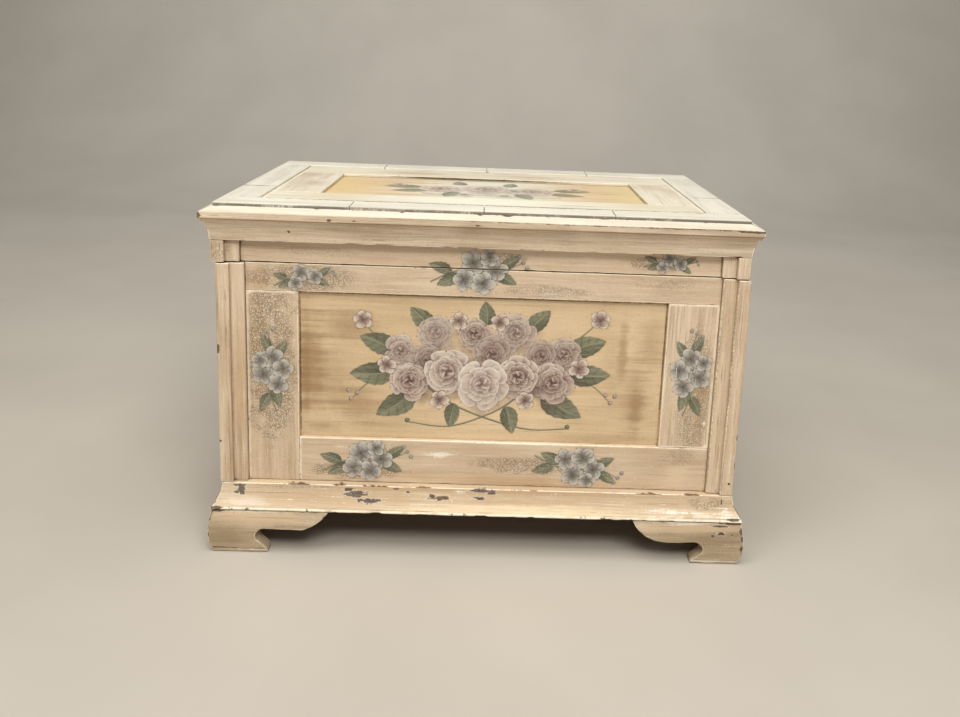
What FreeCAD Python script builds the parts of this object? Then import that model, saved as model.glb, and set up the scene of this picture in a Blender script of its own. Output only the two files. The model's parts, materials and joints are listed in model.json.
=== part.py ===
import FreeCAD, Part
import Sketcher
import math
import os

# Painted blanket chest on ogee bracket feet, with a hinged, moulded lid.
# Millimetres. +X is to the right seen from the front, the front faces -Y, +Z is up.
# The origin is at the middle of the footprint's box, on the floor.

doc = FreeCAD.newDocument("chest")
V = FreeCAD.Vector

# ---------------------------------------------------------------- dimensions
SIZES = [
    # overall
    ("front_y", -182.15),        # front plane of the corner posts
    ("case_half", 294.0),       # half width of the case
    ("case_deep", 372.0),       # front plane to back plane
    ("lid_half", 295.0),        # half width of the lid's corner blocks
    ("lid_fwd", 0.5),           # the lid's front plane stands this far ahead of the case
    ("lid_shift", -3.6),        # the lid sits this far to the left of the case
    ("base_shift", 1.2),        # the base sits this far to the right of it
    # heights
    ("z_plinth", 51.5),         # underside of the base moulding
    ("z_case", 81.0),           # top of the base moulding, foot of the case
    ("z_rim", 337.7),           # top of the case
    ("z_lid", 338.7),           # underside of the lid
    ("z_cove", 363.5),          # underside of the cornice
    ("z_core", 388.7),          # underside of the lid's top frame
    ("z_strip", 396.7),         # underside of the border strips
    ("z_frame", 402.7),         # face of the lid's top frame
    ("z_top", 404.7),           # face of the border strips
    # corner posts and their two steps
    ("post", 30.0),
    ("strip_w", 14.6),
    ("step_d", 5.0),
    # frames
    ("frame_t", 18.0),
    ("stile_w", 57.0),
    ("top_rail", 31.7),
    ("bottom_rail", 53.0),
    ("back_rail", 40.0),
    ("panel_half", 206.0),      # half width of the front panel's sight size
    ("tongue", 5.0),            # tongues into the posts
    ("groove", 7.0),            # panel grooves
    ("groove_t", 6.0),
    ("fit", 0.5),               # room at the bottom of a groove
    ("side_fit", 0.05),         # room on each face of a panel
    # floor of the chest
    ("cleat", 14.0),
    ("z_floor", 98.0),
    ("floor_t", 9.0),
    # base moulding and feet
    ("base_in", 22.0),
    ("base_lip", 11.0),
    ("base_cove", 9.5),
    ("foot_in", 6.0),
    ("foot_top", 9.6),
    ("foot_bulge", 13.4),
    ("foot_low", 9.6),
    ("z_bulge", 24.0),
    ("foot_len", 128.0),
    ("block", 25.0),
    # lid
    ("frieze_t", 14.0),
    ("crown_in", 24.0),
    ("crown_out", 10.0),
    ("crown_low", 1.0),
    ("crown_top", 3.0),
    ("top_strip", 40.0),
    ("top_rail_w", 57.0),
    ("top_cross_w", 60.0),
    ("lid_panel_t", 5.0),
    ("lid_panel_drop", 4.0),
    ("joint", 0.6),             # open joints between the border strips
    # hinges
    ("hinge_out", 3.2),         # hinge line behind the back plane
    ("z_hinge", 338.2),
    ("knuckle_r", 3.0),
    ("pin_r", 1.25),
    ("leaf_t", 1.2),
    ("leaf_w", 16.0),
    ("leaf_len", 50.0),
    ("hinge_x", 190.0),
    ("screw_r", 1.3),
    ("screw_head", 2.5),
    # folding stay: an exact parallelogram on the hinge line
    ("stay_b_fwd", 65.0),
    ("stay_b_down", 110.8),
    ("stay_a_fwd", 120.0),
    ("stay_a_up", 22.0),
    ("arm_w", 12.0),
    ("arm_t", 2.5),
    ("stud_r", 2.5),
    ("stud_fit", 0.06),
]
sheet = doc.addObject("Spreadsheet::Sheet", "dims")
VALUE = {}
for row, (alias, value) in enumerate(SIZES, 1):
    sheet.set("A%d" % row, alias)
    sheet.set("B%d" % row, str(value))
    sheet.setAlias("B%d" % row, alias)
    VALUE[alias] = value
doc.recompute()


class Size:
    """A length kept as its value and as the formula that binds it to the sheet."""

    def __init__(self, value, text):
        self.value, self.text = value, text

    def __add__(self, o):
        o = size(o)
        return Size(self.value + o.value, "(%s + %s)" % (self.text, o.text))

    __radd__ = __add__

    def __sub__(self, o):
        o = size(o)
        return Size(self.value - o.value, "(%s - %s)" % (self.text, o.text))

    def __rsub__(self, o):
        return size(o) - self

    def __mul__(self, k):
        return Size(self.value * k, "(%s * %s)" % (self.text, k))

    __rmul__ = __mul__

    def __neg__(self):
        return Size(-self.value, "(-1 * %s)" % self.text)


def size(v):
    if isinstance(v, Size):
        return v
    if v < 0:
        return Size(float(v), "(-1 * %s)" % abs(v))
    return Size(float(v), "%s" % v)


def d(alias):
    return Size(VALUE[alias], "dims." + alias)


# ---------------------------------------------------------------- builders
PARTS = []
count = [0]


def fresh(stem):
    count[0] += 1
    return "%s_%03d" % (stem, count[0])


def name_part(obj, node):
    obj.Label = node
    PARTS.append((node, obj))
    return obj


def box(x0, x1, y0, y1, z0, z1):
    b = doc.addObject("Part::Box", fresh("block"))
    x0, x1, y0, y1, z0, z1 = [size(v) for v in (x0, x1, y0, y1, z0, z1)]
    b.setExpression("Length", (x1 - x0).text)
    b.setExpression("Width", (y1 - y0).text)
    b.setExpression("Height", (z1 - z0).text)
    b.setExpression("Placement.Base.x", x0.text)
    b.setExpression("Placement.Base.y", y0.text)
    b.setExpression("Placement.Base.z", z0.text)
    return b


TURN = {
    "X": FreeCAD.Rotation(V(0, 1, 0), 90),
    "Y": FreeCAD.Rotation(V(1, 0, 0), -90),
    "Z": FreeCAD.Rotation(),
}


def rod(axis, x, y, z, r, length, kind="Part::Cylinder", r2=None):
    """A cylinder or cone that starts at x, y, z and runs along +axis."""
    c = doc.addObject(kind, fresh("rod"))
    c.Placement = FreeCAD.Placement(V(0, 0, 0), TURN[axis])
    x, y, z, r, length = [size(v) for v in (x, y, z, r, length)]
    if kind == "Part::Cone":
        c.setExpression("Radius1", r.text)
        c.setExpression("Radius2", size(r2).text)
    else:
        c.setExpression("Radius", r.text)
    c.setExpression("Height", length.text)
    c.setExpression("Placement.Base.x", x.text)
    c.setExpression("Placement.Base.y", y.text)
    c.setExpression("Placement.Base.z", z.text)
    return c


def fuse(*objs):
    f = doc.addObject("Part::MultiFuse", fresh("union"))
    f.Shapes = list(objs)
    f.Refine = True
    return f


def group(*objs):
    g = doc.addObject("Part::Compound", fresh("set"))
    g.Links = list(objs)
    return g


def cut(base, *tools):
    tool = tools[0] if len(tools) == 1 else group(*tools)
    c = doc.addObject("Part::Cut", fresh("cut"))
    c.Base, c.Tool = base, tool
    return c


def common(a, b):
    c = doc.addObject("Part::MultiCommon", fresh("meet"))
    c.Shapes = [a, b]
    return c


PLANES = {
    # local x and y of the outline, and the way it is extruded
    "XY": (FreeCAD.Rotation(), V(0, 0, 1), "z"),
    "XZ": (FreeCAD.Rotation(V(1, 0, 0), 90), V(0, 1, 0), "y"),
    "YZ": (FreeCAD.Rotation(V(1, 1, 1), 120), V(1, 0, 0), "x"),
}


def prism(plane, outline, lo, hi):
    """A straight bar: a closed outline of points, extruded from lo to hi across its plane.
    A point is (a, b). Between two points, ("arc", radius, side) makes the edge an arc of that
    radius, bulging to the given side, and ("via", (a, b)) makes it an arc through a third point."""
    rot, direction, letter = PLANES[plane]
    sk = doc.addObject("Sketcher::SketchObject", fresh("outline"))
    pts, arcs = [], {}
    for item in outline:
        if item[0] in ("arc", "via"):
            arcs[len(pts) - 1] = item
        else:
            pts.append((size(item[0]), size(item[1])))
    n = len(pts)
    xy = [V(a.value, b.value, 0) for a, b in pts]
    ends = []
    for i in range(n):
        p, q = xy[i], xy[(i + 1) % n]
        if i in arcs:
            mid, chord = (p + q) * 0.5, q - p
            if arcs[i][0] == "via":
                a, b = [size(c).value for c in arcs[i][1]]
                t = V(a, b, 0)
                turn = (t - p).cross(chord).z
                radius = size(round((t - p).Length * (q - t).Length * chord.Length / (2 * abs(turn)), 6))
                side = 1 if turn < 0 else -1
            else:
                radius, side = size(arcs[i][1]), arcs[i][2]
            half = chord.Length / 2
            rise = radius.value - math.sqrt(radius.value**2 - half**2)
            normal = V(-chord.y, chord.x, 0).normalize()
            g = sk.addGeometry(Part.Arc(p, mid + normal * (rise * side), q))
            first = 1 if (sk.getPoint(g, 1) - p).Length < 1e-6 else 2
            ends.append((g, first, 3 - first))
            c = sk.addConstraint(Sketcher.Constraint("Radius", g, radius.value))
            sk.setExpression("Constraints[%d]" % c, radius.text)
        else:
            g = sk.addGeometry(Part.LineSegment(p, q))
            ends.append((g, 1, 2))
    for i in range(n):
        g, first, _ = ends[i]
        before, _, last = ends[i - 1]
        sk.addConstraint(Sketcher.Constraint("Coincident", before, last, g, first))
        for word, s in (("DistanceX", pts[i][0]), ("DistanceY", pts[i][1])):
            c = sk.addConstraint(Sketcher.Constraint(word, g, first, s.value))
            sk.setExpression("Constraints[%d]" % c, s.text)
    sk.Placement = FreeCAD.Placement(V(0, 0, 0), rot)
    lo, hi = size(lo), size(hi)
    sk.setExpression("Placement.Base.%s" % letter, lo.text)
    e = doc.addObject("Part::Extrusion", fresh("bar"))
    e.Base = sk
    e.DirMode = "Custom"
    e.Dir = direction
    e.Solid = True
    e.setExpression("LengthFwd", (hi - lo).text)
    return e


def soften(obj, r, pick, kind="Part::Chamfer"):
    """Eases the edges that pick() takes, by r."""
    doc.recompute()
    found = []
    for i, e in enumerate(obj.Shape.Edges, 1):
        if pick(e):
            found.append((i, r, r))
    if not found:
        return obj
    f = doc.addObject(kind, fresh("eased"))
    f.Base = obj
    f.Edges = found
    doc.recompute()
    if f.Shape.isNull() or not f.Shape.isValid() or f.Shape.Volume <= 0:
        print("easing left out on", obj.Label)
        doc.removeObject(f.Name)
        return obj
    return f


def on_plane(axis, value, tol=1e-4):
    def pick(e):
        return all(abs(getattr(v.Point, axis) - value) < tol for v in e.Vertexes) and abs(
            getattr(e.CenterOfMass, axis) - value
        ) < tol

    return pick


def along(axis, places, tol=1e-3):
    """Straight edges along an axis, at the given places in the other two coordinates."""
    others = [a for a in "xyz" if a != axis]

    def pick(e):
        if len(e.Vertexes) != 2:
            return False
        a, b = e.Vertexes[0].Point, e.Vertexes[1].Point
        if any(abs(getattr(a, o) - getattr(b, o)) > tol for o in others):
            return False
        if abs(getattr(a, axis) - getattr(b, axis)) < 1:
            return False
        return any(
            all(abs(getattr(a, o) - p) < tol for o, p in zip(others, place)) for place in places
        )

    return pick


# ---------------------------------------------------------------- shared places
fy = d("front_y")                      # front plane
by = fy + d("case_deep")               # back plane
ch = d("case_half")
post, sd, sw = d("post"), d("step_d"), d("strip_w")
ft, gt, tg, gv = d("frame_t"), d("groove_t"), d("tongue"), d("groove")
fit, sf = d("fit"), d("side_fit")
zc, zr = d("z_case"), d("z_rim")
face = 2 * sd                          # frame face, in from the front plane
EASE = 0.5

# ---------------------------------------------------------------- corner posts
#
# Each post is stepped twice on the faces that show and grooved for the frames.


def post_outline(sx, half, front, sign, plain_back, off=0.0):
    """Plan of a post. u runs in from the outer side, v in from the front (or back) plane."""
    x = lambda u: (half - u) * sx + off
    y = lambda v: front + size(v) * sign
    o = []
    if plain_back:
        g0, g1 = size(6.0), size(12.0)
        o += [(x(size(0)), y(0)), (x(post), y(0)), (x(post), y(g0)), (x(post - tg), y(g0)),
              (x(post - tg), y(g1)), (x(post), y(g1))]
    else:
        g0, g1 = face + 6.0, face + 12.0
        o += [(x(size(0)), y(0)), (x(sw), y(0)), (x(sw), y(sd)), (x(post), y(sd)), (x(post), y(g0)),
              (x(post - tg), y(g0)), (x(post - tg), y(g1)), (x(post), y(g1))]
    h0, h1 = face + 6.0, face + 12.0
    o += [(x(post), y(post)), (x(h1), y(post)), (x(h1), y(post - tg)), (x(h0), y(post - tg)),
          (x(h0), y(post)), (x(sd), y(post)), (x(sd), y(sw)), (x(size(0)), y(sw))]
    return o


def post_edges(sx, half, front, sign, plain_back, off=0.0):
    x = lambda u: (half - u) * sx + off
    y = lambda v: front + v * sign
    s, w, p = sd.value, sw.value, post.value
    out = [(x(0), y(0)), (x(s), y(p)), (x(0), y(w))]
    out += [(x(p), y(0))] if plain_back else [(x(w), y(0)), (x(p), y(s))]
    return out


for side, sx in (("left", -1), ("right", 1)):
    for end, front, sign in (("front", fy, 1), ("rear", by, -1)):
        plain = end == "rear"
        p = prism("XY", post_outline(sx, ch, front, sign, plain), zc, zr)
        p = soften(p, 0.9, along("z", post_edges(sx, ch.value, front.value, sign, plain)), "Part::Fillet")
        name_part(p, "post_%s_%s" % (end, side))

# ---------------------------------------------------------------- front frame
xf = ch - post                          # half width between the posts
y0, y1 = fy + face, fy + face + ft      # frame faces
g0, g1 = y0 + 6.0, y0 + 6.0 + gt        # groove faces
zp0, zp1 = zc + d("bottom_rail"), zr - d("top_rail")
ph = d("panel_half")


def finish(obj, node, axis, value, r=EASE):
    """Eases the arrises of the face that shows."""
    return name_part(soften(obj, r, on_plane(axis, value)), node)


# The top rail runs over both stiles; the bottom rail runs under the right one only.
rail = cut(
    fuse(box(-xf, xf, y0, y1, zp1, zr),
         box(-xf - tg, -xf, g0, g1, zp1, zr), box(xf, xf + tg, g0, g1, zp1, zr)),
    box(-xf - tg, xf + tg, g0, g1, zp1, zp1 + gv))
finish(rail, "front_top_rail", "y", y0.value)

stile = cut(
    fuse(box(-xf, -ph, y0, y1, zc, zp1), box(-xf - tg, -xf, g0, g1, zc, zp1),
         box(-xf, -ph, g0, g1, zp1, zp1 + gv - fit)),
    box(-ph - gv, -ph, g0, g1, zc, zp1 + gv))
finish(stile, "front_left_stile", "y", y0.value)

stile = cut(
    fuse(box(ph, xf, y0, y1, zp0, zp1), box(xf, xf + tg, g0, g1, zp0, zp1),
         box(ph, xf, g0, g1, zp1, zp1 + gv - fit), box(ph, xf, g0, g1, zp0 - gv + fit, zp0)),
    box(ph, ph + gv, g0, g1, zp0 - gv, zp1 + gv))
finish(stile, "front_right_stile", "y", y0.value)

rail = cut(
    fuse(box(-ph, xf, y0, y1, zc, zp0), box(xf, xf + tg, g0, g1, zc, zp0),
         box(-ph - gv + fit, -ph, g0, g1, zc, zp0 - gv)),
    box(-ph, xf + tg, g0, g1, zp0 - gv, zp0))
finish(rail, "front_bottom_rail", "y", y0.value)

name_part(box(-ph - gv + fit, ph + gv - fit, g0 + sf, g1 - sf, zp0 - gv + fit, zp1 + gv - fit), "front_panel")

# ---------------------------------------------------------------- side frames
ys0, ys1 = fy + post, by - post
ya, yb = ys0 + d("stile_w"), ys1 - d("stile_w")
for side, sx in (("left", -1), ("right", 1)):

    def xb(a, b, *rest):
        """A block whose x runs between two depths in from the side's outer plane."""
        lo, hi = (ch - a) * sx, (ch - b) * sx
        return box(hi, lo, *rest) if sx > 0 else box(lo, hi, *rest)

    o0, o1 = face, face + ft
    q0, q1 = face + 6.0, face + 12.0
    shown = ((ch - face) * sx).value
    rail = cut(
        fuse(xb(o0, o1, ys0, ys1, zp1, zr), xb(q0, q1, ys0 - tg, ys1 + tg, zp1, zr)),
        xb(q0, q1, ys0 - tg, ys1 + tg, zp1, zp1 + gv))
    finish(rail, side + "_top_rail", "x", shown)
    rail = cut(
        fuse(xb(o0, o1, ya, yb, zc, zp0), xb(q0, q1, ya - gv + fit, yb + gv - fit, zc, zp0 - gv)),
        xb(q0, q1, ya - gv, yb + gv, zp0 - gv, zp0))
    finish(rail, side + "_bottom_rail", "x", shown)
    for end, a, b, edge in (("front", ys0, ya, -1), ("rear", yb, ys1, 1)):
        tong = xb(q0, q1, ys0 - tg, ys0, zc, zp1) if edge < 0 else xb(q0, q1, ys1, ys1 + tg, zc, zp1)
        slot = xb(q0, q1, ya - gv, ya, zc, zp1 + gv) if edge < 0 else xb(q0, q1, yb, yb + gv, zc, zp1 + gv)
        stile = cut(
            fuse(xb(o0, o1, a, b, zc, zp1), tong, xb(q0, q1, a, b, zp1, zp1 + gv - fit)), slot)
        if side == "right" and end == "rear":
            # pilot holes for the stay's body plate
            byc = by + d("hinge_out") - d("stay_b_fwd")
            bzc = d("z_hinge") - d("stay_b_down")
            stile = cut(stile, *[rod("X", ch - face - ft, byc, bzc + dz, d("screw_r"), 10.0) for dz in (-16.0, 16.0)])
        finish(stile, "%s_%s_stile" % (side, end), "x", shown)
    name_part(
        xb(q0 + sf, q1 - sf, ya - gv + fit, yb + gv - fit, zp0 - gv + fit, zp1 + gv - fit), side + "_panel")

# ---------------------------------------------------------------- back
hx = d("hinge_x")
hl = d("leaf_len") * 0.5
w0, w1 = by - 12.0, by - 6.0            # groove for the thin back panel
zb0, zb1 = zc + d("back_rail"), zr - d("back_rail")
SCREWS = (-17.0, 0.0, 17.0)
SCREW_IN = 8.0
shank = 11.0


def mortises(z0, z1):
    return [box(s * hx - hl, s * hx + hl, by - d("leaf_w"), by, z0, z1) for s in (-1, 1)]


body_pilots = [
    rod("Z", s * hx + o, by - SCREW_IN, zr - d("leaf_t") - shank, d("screw_r"), shank)
    for s in (-1, 1) for o in SCREWS]
rail = cut(
    fuse(box(-xf, xf, by - ft, by, zb1, zr),
         box(-xf - tg, -xf, w0, w1, zb1, zr), box(xf, xf + tg, w0, w1, zb1, zr)),
    box(-xf - tg, xf + tg, w0, w1, zb1, zb1 + gv), *(mortises(zr - d("leaf_t"), zr) + body_pilots))
name_part(rail, "back_top_rail")
rail = cut(
    fuse(box(-xf, xf, by - ft, by, zc, zb0),
         box(-xf - tg, -xf, w0, w1, zc, zb0), box(xf, xf + tg, w0, w1, zc, zb0)),
    box(-xf - tg, xf + tg, w0, w1, zb0 - gv, zb0))
name_part(rail, "back_bottom_rail")
name_part(
    box(-xf - tg + fit, xf + tg - fit, w0 + sf, w1 - sf, zb0 - gv + fit, zb1 + gv - fit), "back_panel")

# ---------------------------------------------------------------- floor
cl = d("cleat")
zf = d("z_floor")
inx = ch - face - ft                    # half width inside
iny0, iny1 = fy + face + ft, by - ft
name_part(group(
    box(-250.0, 250.0, iny0, iny0 + cl, zf - cl, zf),
    box(-250.0, 250.0, iny1 - cl, iny1, zf - cl, zf),
    box(-inx, -inx + cl, iny0 + 18.0, iny1 - 18.0, zf - cl, zf),
    box(inx - cl, inx, iny0 + 18.0, iny1 - 18.0, zf - cl, zf)), "bottom_cleats")
name_part(box(-xf + 1.0, xf - 1.0, iny0 + 1.0, iny1 - 1.0, zf, zf + d("floor_t")), "bottom_board")

# ---------------------------------------------------------------- base moulding
#
# A cove that flares from the case to a small lip, mitred at the two front corners.
bi, lip, cv = d("base_in"), d("base_lip"), d("base_cove")
zl = d("z_plinth")
bs = d("base_shift")


def base_profile(u):
    """u(out) gives the coordinate that lies out from the case's plane."""
    return [(u(-bi), zl), (u(-bi), zc), (u(size(0)), zc), (u(size(0)), zc - 2.0),
            ("arc", 38.0, 0), (u(cv), zc - 24.0), (u(lip), zl + 2.8), (u(lip), zl + 1.2), (u(lip - 1.2), zl)]


def with_arc_side(outline, side):
    return [(i[0], i[1], side) if i[0] == "arc" else i for i in outline]


front_bar = prism("YZ", with_arc_side(base_profile(lambda o: fy - o), 1), bs - ch - lip, bs + ch + lip)
plan = prism("XY", [(bs - ch - lip, fy - lip), (bs + ch + lip, fy - lip), (bs + ch - bi, fy + bi), (bs - ch + bi, fy + bi)], zl, zc)
name_part(common(front_bar, plan), "base_moulding_front")
for side, sx in (("left", -1), ("right", 1)):
    bar = prism("XZ", with_arc_side(base_profile(lambda o: (ch + o) * sx + bs), -1 if sx > 0 else 1), fy - lip, by)
    plan = prism("XY", [((ch + lip) * sx + bs, fy - lip), ((ch + lip) * sx + bs, by), ((ch - bi) * sx + bs, by),
                        ((ch - bi) * sx + bs, fy + bi)], zl, zc)
    name_part(common(bar, plan), "base_moulding_" + side)

# The back board closes the base and is cut out between the rear feet.
bx = ch - bi
board = cut(
    box(bs - bx, bs + bx, by - ft, by, 0.0, zc),
    prism("XZ", [(-188.0, -1.0), (-188.0, 18.0), ("arc", 30.0, -1), (-160.0, 46.0), (160.0, 46.0),
                 ("arc", 30.0, -1), (188.0, 18.0), (188.0, -1.0)], by - ft - 1.0, by + 1.0))
name_part(board, "base_back_board")

# ---------------------------------------------------------------- ogee bracket feet
fi, ftop, fbg, flo, zbg = d("foot_in"), d("foot_top"), d("foot_bulge"), d("foot_low"), d("z_bulge")


def foot_profile(u):
    """Swelling face with a plain strip along the floor."""
    return [(u(-fi), 0.0), (u(-fi), zl), (u(ftop), zl), (u(ftop + 0.2), zl - 3.0), ("via", (u(fbg - 0.95), zl - 15.0)),
            (u(fbg), zbg), ("via", (u(fbg - 0.95), 13.0)), (u(flo + 0.9), 4.6), (u(flo), 4.2), (u(flo), 0.0)]


def bracket(kind, a):
    """The sawn outline of a foot: a(s) places a distance s in from the case's corner."""
    z0 = zl + 1.0
    far = d("foot_len") + 8.0
    p = lambda s, z: (a(size(s)), size(z))
    left = [p(122.2, 50.0), ("via", p(111.5, 39.2)), p(98.6, 32.0), ("via", p(95.4, 30.7)), p(92.0, 30.3),
            p(50.0, 30.8), ("via", p(42.3, 27.0)), p(40.1, 21.4), ("via", p(41.3, 17.6)), p(44.4, 14.3),
            p(50.0, 8.6), ("via", p(52.7, 4.8)), p(53.6, 1.0), p(53.6, -1.0)]
    right = [p(116.0, 50.6), ("via", p(105.9, 37.6)), p(90.0, 29.0), ("via", p(74.3, 26.8)), p(59.3, 27.1),
             p(45.0, 28.2), ("via", p(36.4, 24.9)), p(33.1, 18.9), ("via", p(34.3, 14.8)), p(37.6, 11.2),
             p(42.6, 6.4), ("via", p(45.6, 3.9)), p(46.6, 1.4), p(46.6, -1.0)]
    mean = [p(119.0, 50.4), ("via", p(108.6, 38.4)), p(94.4, 30.6), ("via", p(88.0, 29.2)), p(81.0, 28.9),
            p(47.6, 29.4), ("via", p(39.4, 25.9)), p(36.6, 20.2), ("via", p(37.8, 16.2)), p(41.0, 12.8),
            p(46.4, 7.5), ("via", p(49.2, 4.4)), p(50.1, 1.2), p(50.1, -1.0)]
    run = {"left": left, "right": right, "mean": mean}[kind]
    first = run[0]
    return [(a(far), z0), (first[0], z0)] + run + [(a(far), size(-1.0))]


def foot_piece(node, plane, profile_u, lo, hi, plan_pts, kind, place, saw_plane, saw_lo, saw_hi):
    bar = prism(plane, foot_profile(profile_u), lo, hi)
    plan = prism("XY", plan_pts, 0.0, zl)
    saw = prism(saw_plane, bracket(kind, place), saw_lo, saw_hi)
    name_part(cut(common(bar, plan), saw), node)


FOOT = d("foot_len")
for side, sx in (("left", -1), ("right", 1)):
    corner = (ch + fbg) * sx + bs
    inner = (ch - fi) * sx + bs
    end = (ch - FOOT) * sx + bs
    out = lambda o: (ch + o) * sx + bs
    lo, hi = (end, corner) if sx > 0 else (corner, end)
    foot_piece("foot_front_%s_face" % side, "YZ", lambda o: fy - o, lo, hi,
               [(corner, fy - fbg), (inner, fy + fi), (end, fy + fi), (end, fy - fbg)],
               side, lambda s: (ch - s) * sx + bs, "XZ", fy - fbg - 1.0, fy + fi + 1.0)
    a0, a1 = (corner, inner) if sx < 0 else (inner, corner)
    foot_piece("foot_front_%s_return" % side, "XZ", out, fy - fbg, fy + FOOT,
               [(corner, fy - fbg), (corner, fy + FOOT), (inner, fy + FOOT), (inner, fy + fi)],
               "mean", lambda s: fy + s, "YZ", a0 - 1.0, a1 + 1.0)
    foot_piece("foot_rear_%s_side" % side, "XZ", out, by - FOOT, by,
               [(corner, by - FOOT), (corner, by), (inner, by), (inner, by - FOOT)],
               "mean", lambda s: by - s, "YZ", a0 - 1.0, a1 + 1.0)

def arcs(outline, sides):
    """Gives the arcs of an outline their sides, in order."""
    out, k = [], 0
    for i in outline:
        if i[0] == "arc":
            out.append((i[0], i[1], sides[k]))
            k += 1
        else:
            out.append(i)
    return out


bk = d("block")
blocks = []
for sx in (-1, 1):
    x0, x1 = (ch - fi - bk) * sx + bs, (ch - fi) * sx + bs
    if sx < 0:
        x0, x1 = x1, x0
    blocks.append(box(x0, x1, fy + fi, fy + fi + bk, 3.0, zl))
    x0, x1 = (ch - bi) * sx + bs, (ch - fi) * sx + bs
    if sx < 0:
        x0, x1 = x1, x0
    blocks.append(box(x0, x1, by - bk, by, 3.0, zl))
name_part(group(*blocks), "foot_glue_blocks")

# ---------------------------------------------------------------- lid: frieze and corner blocks
lh, lf = d("lid_half"), d("lid_fwd")
ly = fy - lf                            # the lid's front plane
ls = d("lid_shift")
z1, z2, z3 = d("z_lid"), d("z_cove"), d("z_core")
corner_blocks = []
for sx in (-1, 1):
    for front, sign, plain in ((ly, 1, False), (by, -1, True)):
        p = prism("XY", post_outline(sx, lh, front, sign, plain, ls), z1, z2)
        corner_blocks.append(
            soften(p, 0.9, along("z", post_edges(sx, lh.value, front.value, sign, plain, ls.value)), "Part::Fillet"))
name_part(group(*corner_blocks), "lid_corner_blocks")

lx = lh - post
fz = d("frieze_t")
frieze = fuse(box(ls - lx, ls + lx, ly + face, ly + face + fz, z1, z2),
              box(ls - lx - tg, ls + lx + tg, ly + face + 6.0, ly + face + 12.0, z1, z2))
finish(frieze, "lid_frieze_front", "y", (ly + face).value, 0.4)

lys0, lys1 = ly + post, by - post
ayc = by + d("hinge_out") - d("stay_a_fwd")
azc = d("z_hinge") + d("stay_a_up")
for side, sx in (("left", -1), ("right", 1)):

    def xl(a, b, *rest):
        lo, hi = (lh - a) * sx + ls, (lh - b) * sx + ls
        return box(hi, lo, *rest) if sx > 0 else box(lo, hi, *rest)

    board = fuse(xl(face, face + fz, lys0, lys1, z1, z2),
                 xl(face + 6.0, face + 12.0, lys0 - tg, lys1 + tg, z1, z2))
    if side == "right":
        board = cut(board, *[rod("X", lh - face - fz + ls, ayc + dy, azc - 7.0, d("screw_r"), 9.0) for dy in (-11.0, 11.0)])
    finish(board, "lid_frieze_" + side, "x", ((lh - face) * sx + ls).value, 0.4)

ci = d("crown_in")
lid_pilots = [
    rod("Z", s * hx + o, by - SCREW_IN, z1 + d("leaf_t"), d("screw_r"), shank)
    for s in (-1, 1) for o in SCREWS]
board = cut(
    fuse(box(ls - lx, ls + lx, by - ft, by, z1, z3), box(ls - lx - tg, ls + lx + tg, by - 12.0, by - 6.0, z1, z2),
         box(ls - lh + ci, ls + lh - ci, by - ft, by, z2, z3)),
    *(mortises(z1, z1 + d("leaf_t")) + lid_pilots))
name_part(board, "lid_back_board")

# ---------------------------------------------------------------- lid: cornice
co, cb, ct = d("crown_out"), d("crown_low"), d("crown_top")


def crown_profile(u):
    """Cove, nose and sloping top, with a rebate behind for the lid's top frame."""
    return [(u(-ci), z2), (u(-ci), z3), (u(-ct), z3), (u(-ct), z3 + 12.6), (u(co - 0.8), z3 + 7.1),
            ("arc", 1.2, 0), (u(co), z3 + 5.9), (u(co), z3 + 2.3), ("arc", 3.2, 0), (u(co - 1.5), z2 + 24.0), ("arc", 37.5, 0), (u(cb), z2 + 1.5), (u(cb), z2)]


bar = prism("YZ", arcs(crown_profile(lambda o: ly - o), (-1, -1, 1)), ls - lh - co, ls + lh + co)
plan = prism("XY", [(ls - lh - co, ly - co), (ls + lh + co, ly - co), (ls + lh - ci, ly + ci), (ls - lh + ci, ly + ci)],
             z2, z3 + 13.0)
name_part(common(bar, plan), "cornice_front")
for side, sx in (("left", -1), ("right", 1)):
    bar = prism("XZ", arcs(crown_profile(lambda o: (lh + o) * sx + ls), (sx, sx, -sx)), ly - co, by)
    plan = prism("XY", [((lh + co) * sx + ls, ly - co), ((lh + co) * sx + ls, by), ((lh - ci) * sx + ls, by),
                        ((lh - ci) * sx + ls, ly + ci)], z2, z3 + 13.0)
    name_part(common(bar, plan), "cornice_" + side)

# ---------------------------------------------------------------- lid: top frame, panel and border strips
zs, zfm, zt = d("z_strip"), d("z_frame"), d("z_top")
sx_half = lh - ct                       # half width of the top
ty0, ty1 = ly + ct, by
ts, tr = d("top_strip"), d("top_rail_w")
in_x = sx_half - ts                     # sight of the border strips
in_y0, in_y1 = ty0 + ts, ty1 - ts
pn_x = in_x - tr                        # sight of the panel
pn_y0, pn_y1 = in_y0 + d("top_cross_w"), in_y1 - d("top_cross_w")
pz1 = zfm - d("lid_panel_drop")
pz0 = pz1 - d("lid_panel_t")


def lid_rail(node, a, b, c0, c1, slot):
    rail = cut(fuse(box(ls - sx_half, ls + sx_half, a, b, z3, zs), box(ls - in_x, ls + in_x, c0, c1, z3, zfm)), slot)
    finish(rail, node, "z", zfm.value, 0.4)


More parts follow.
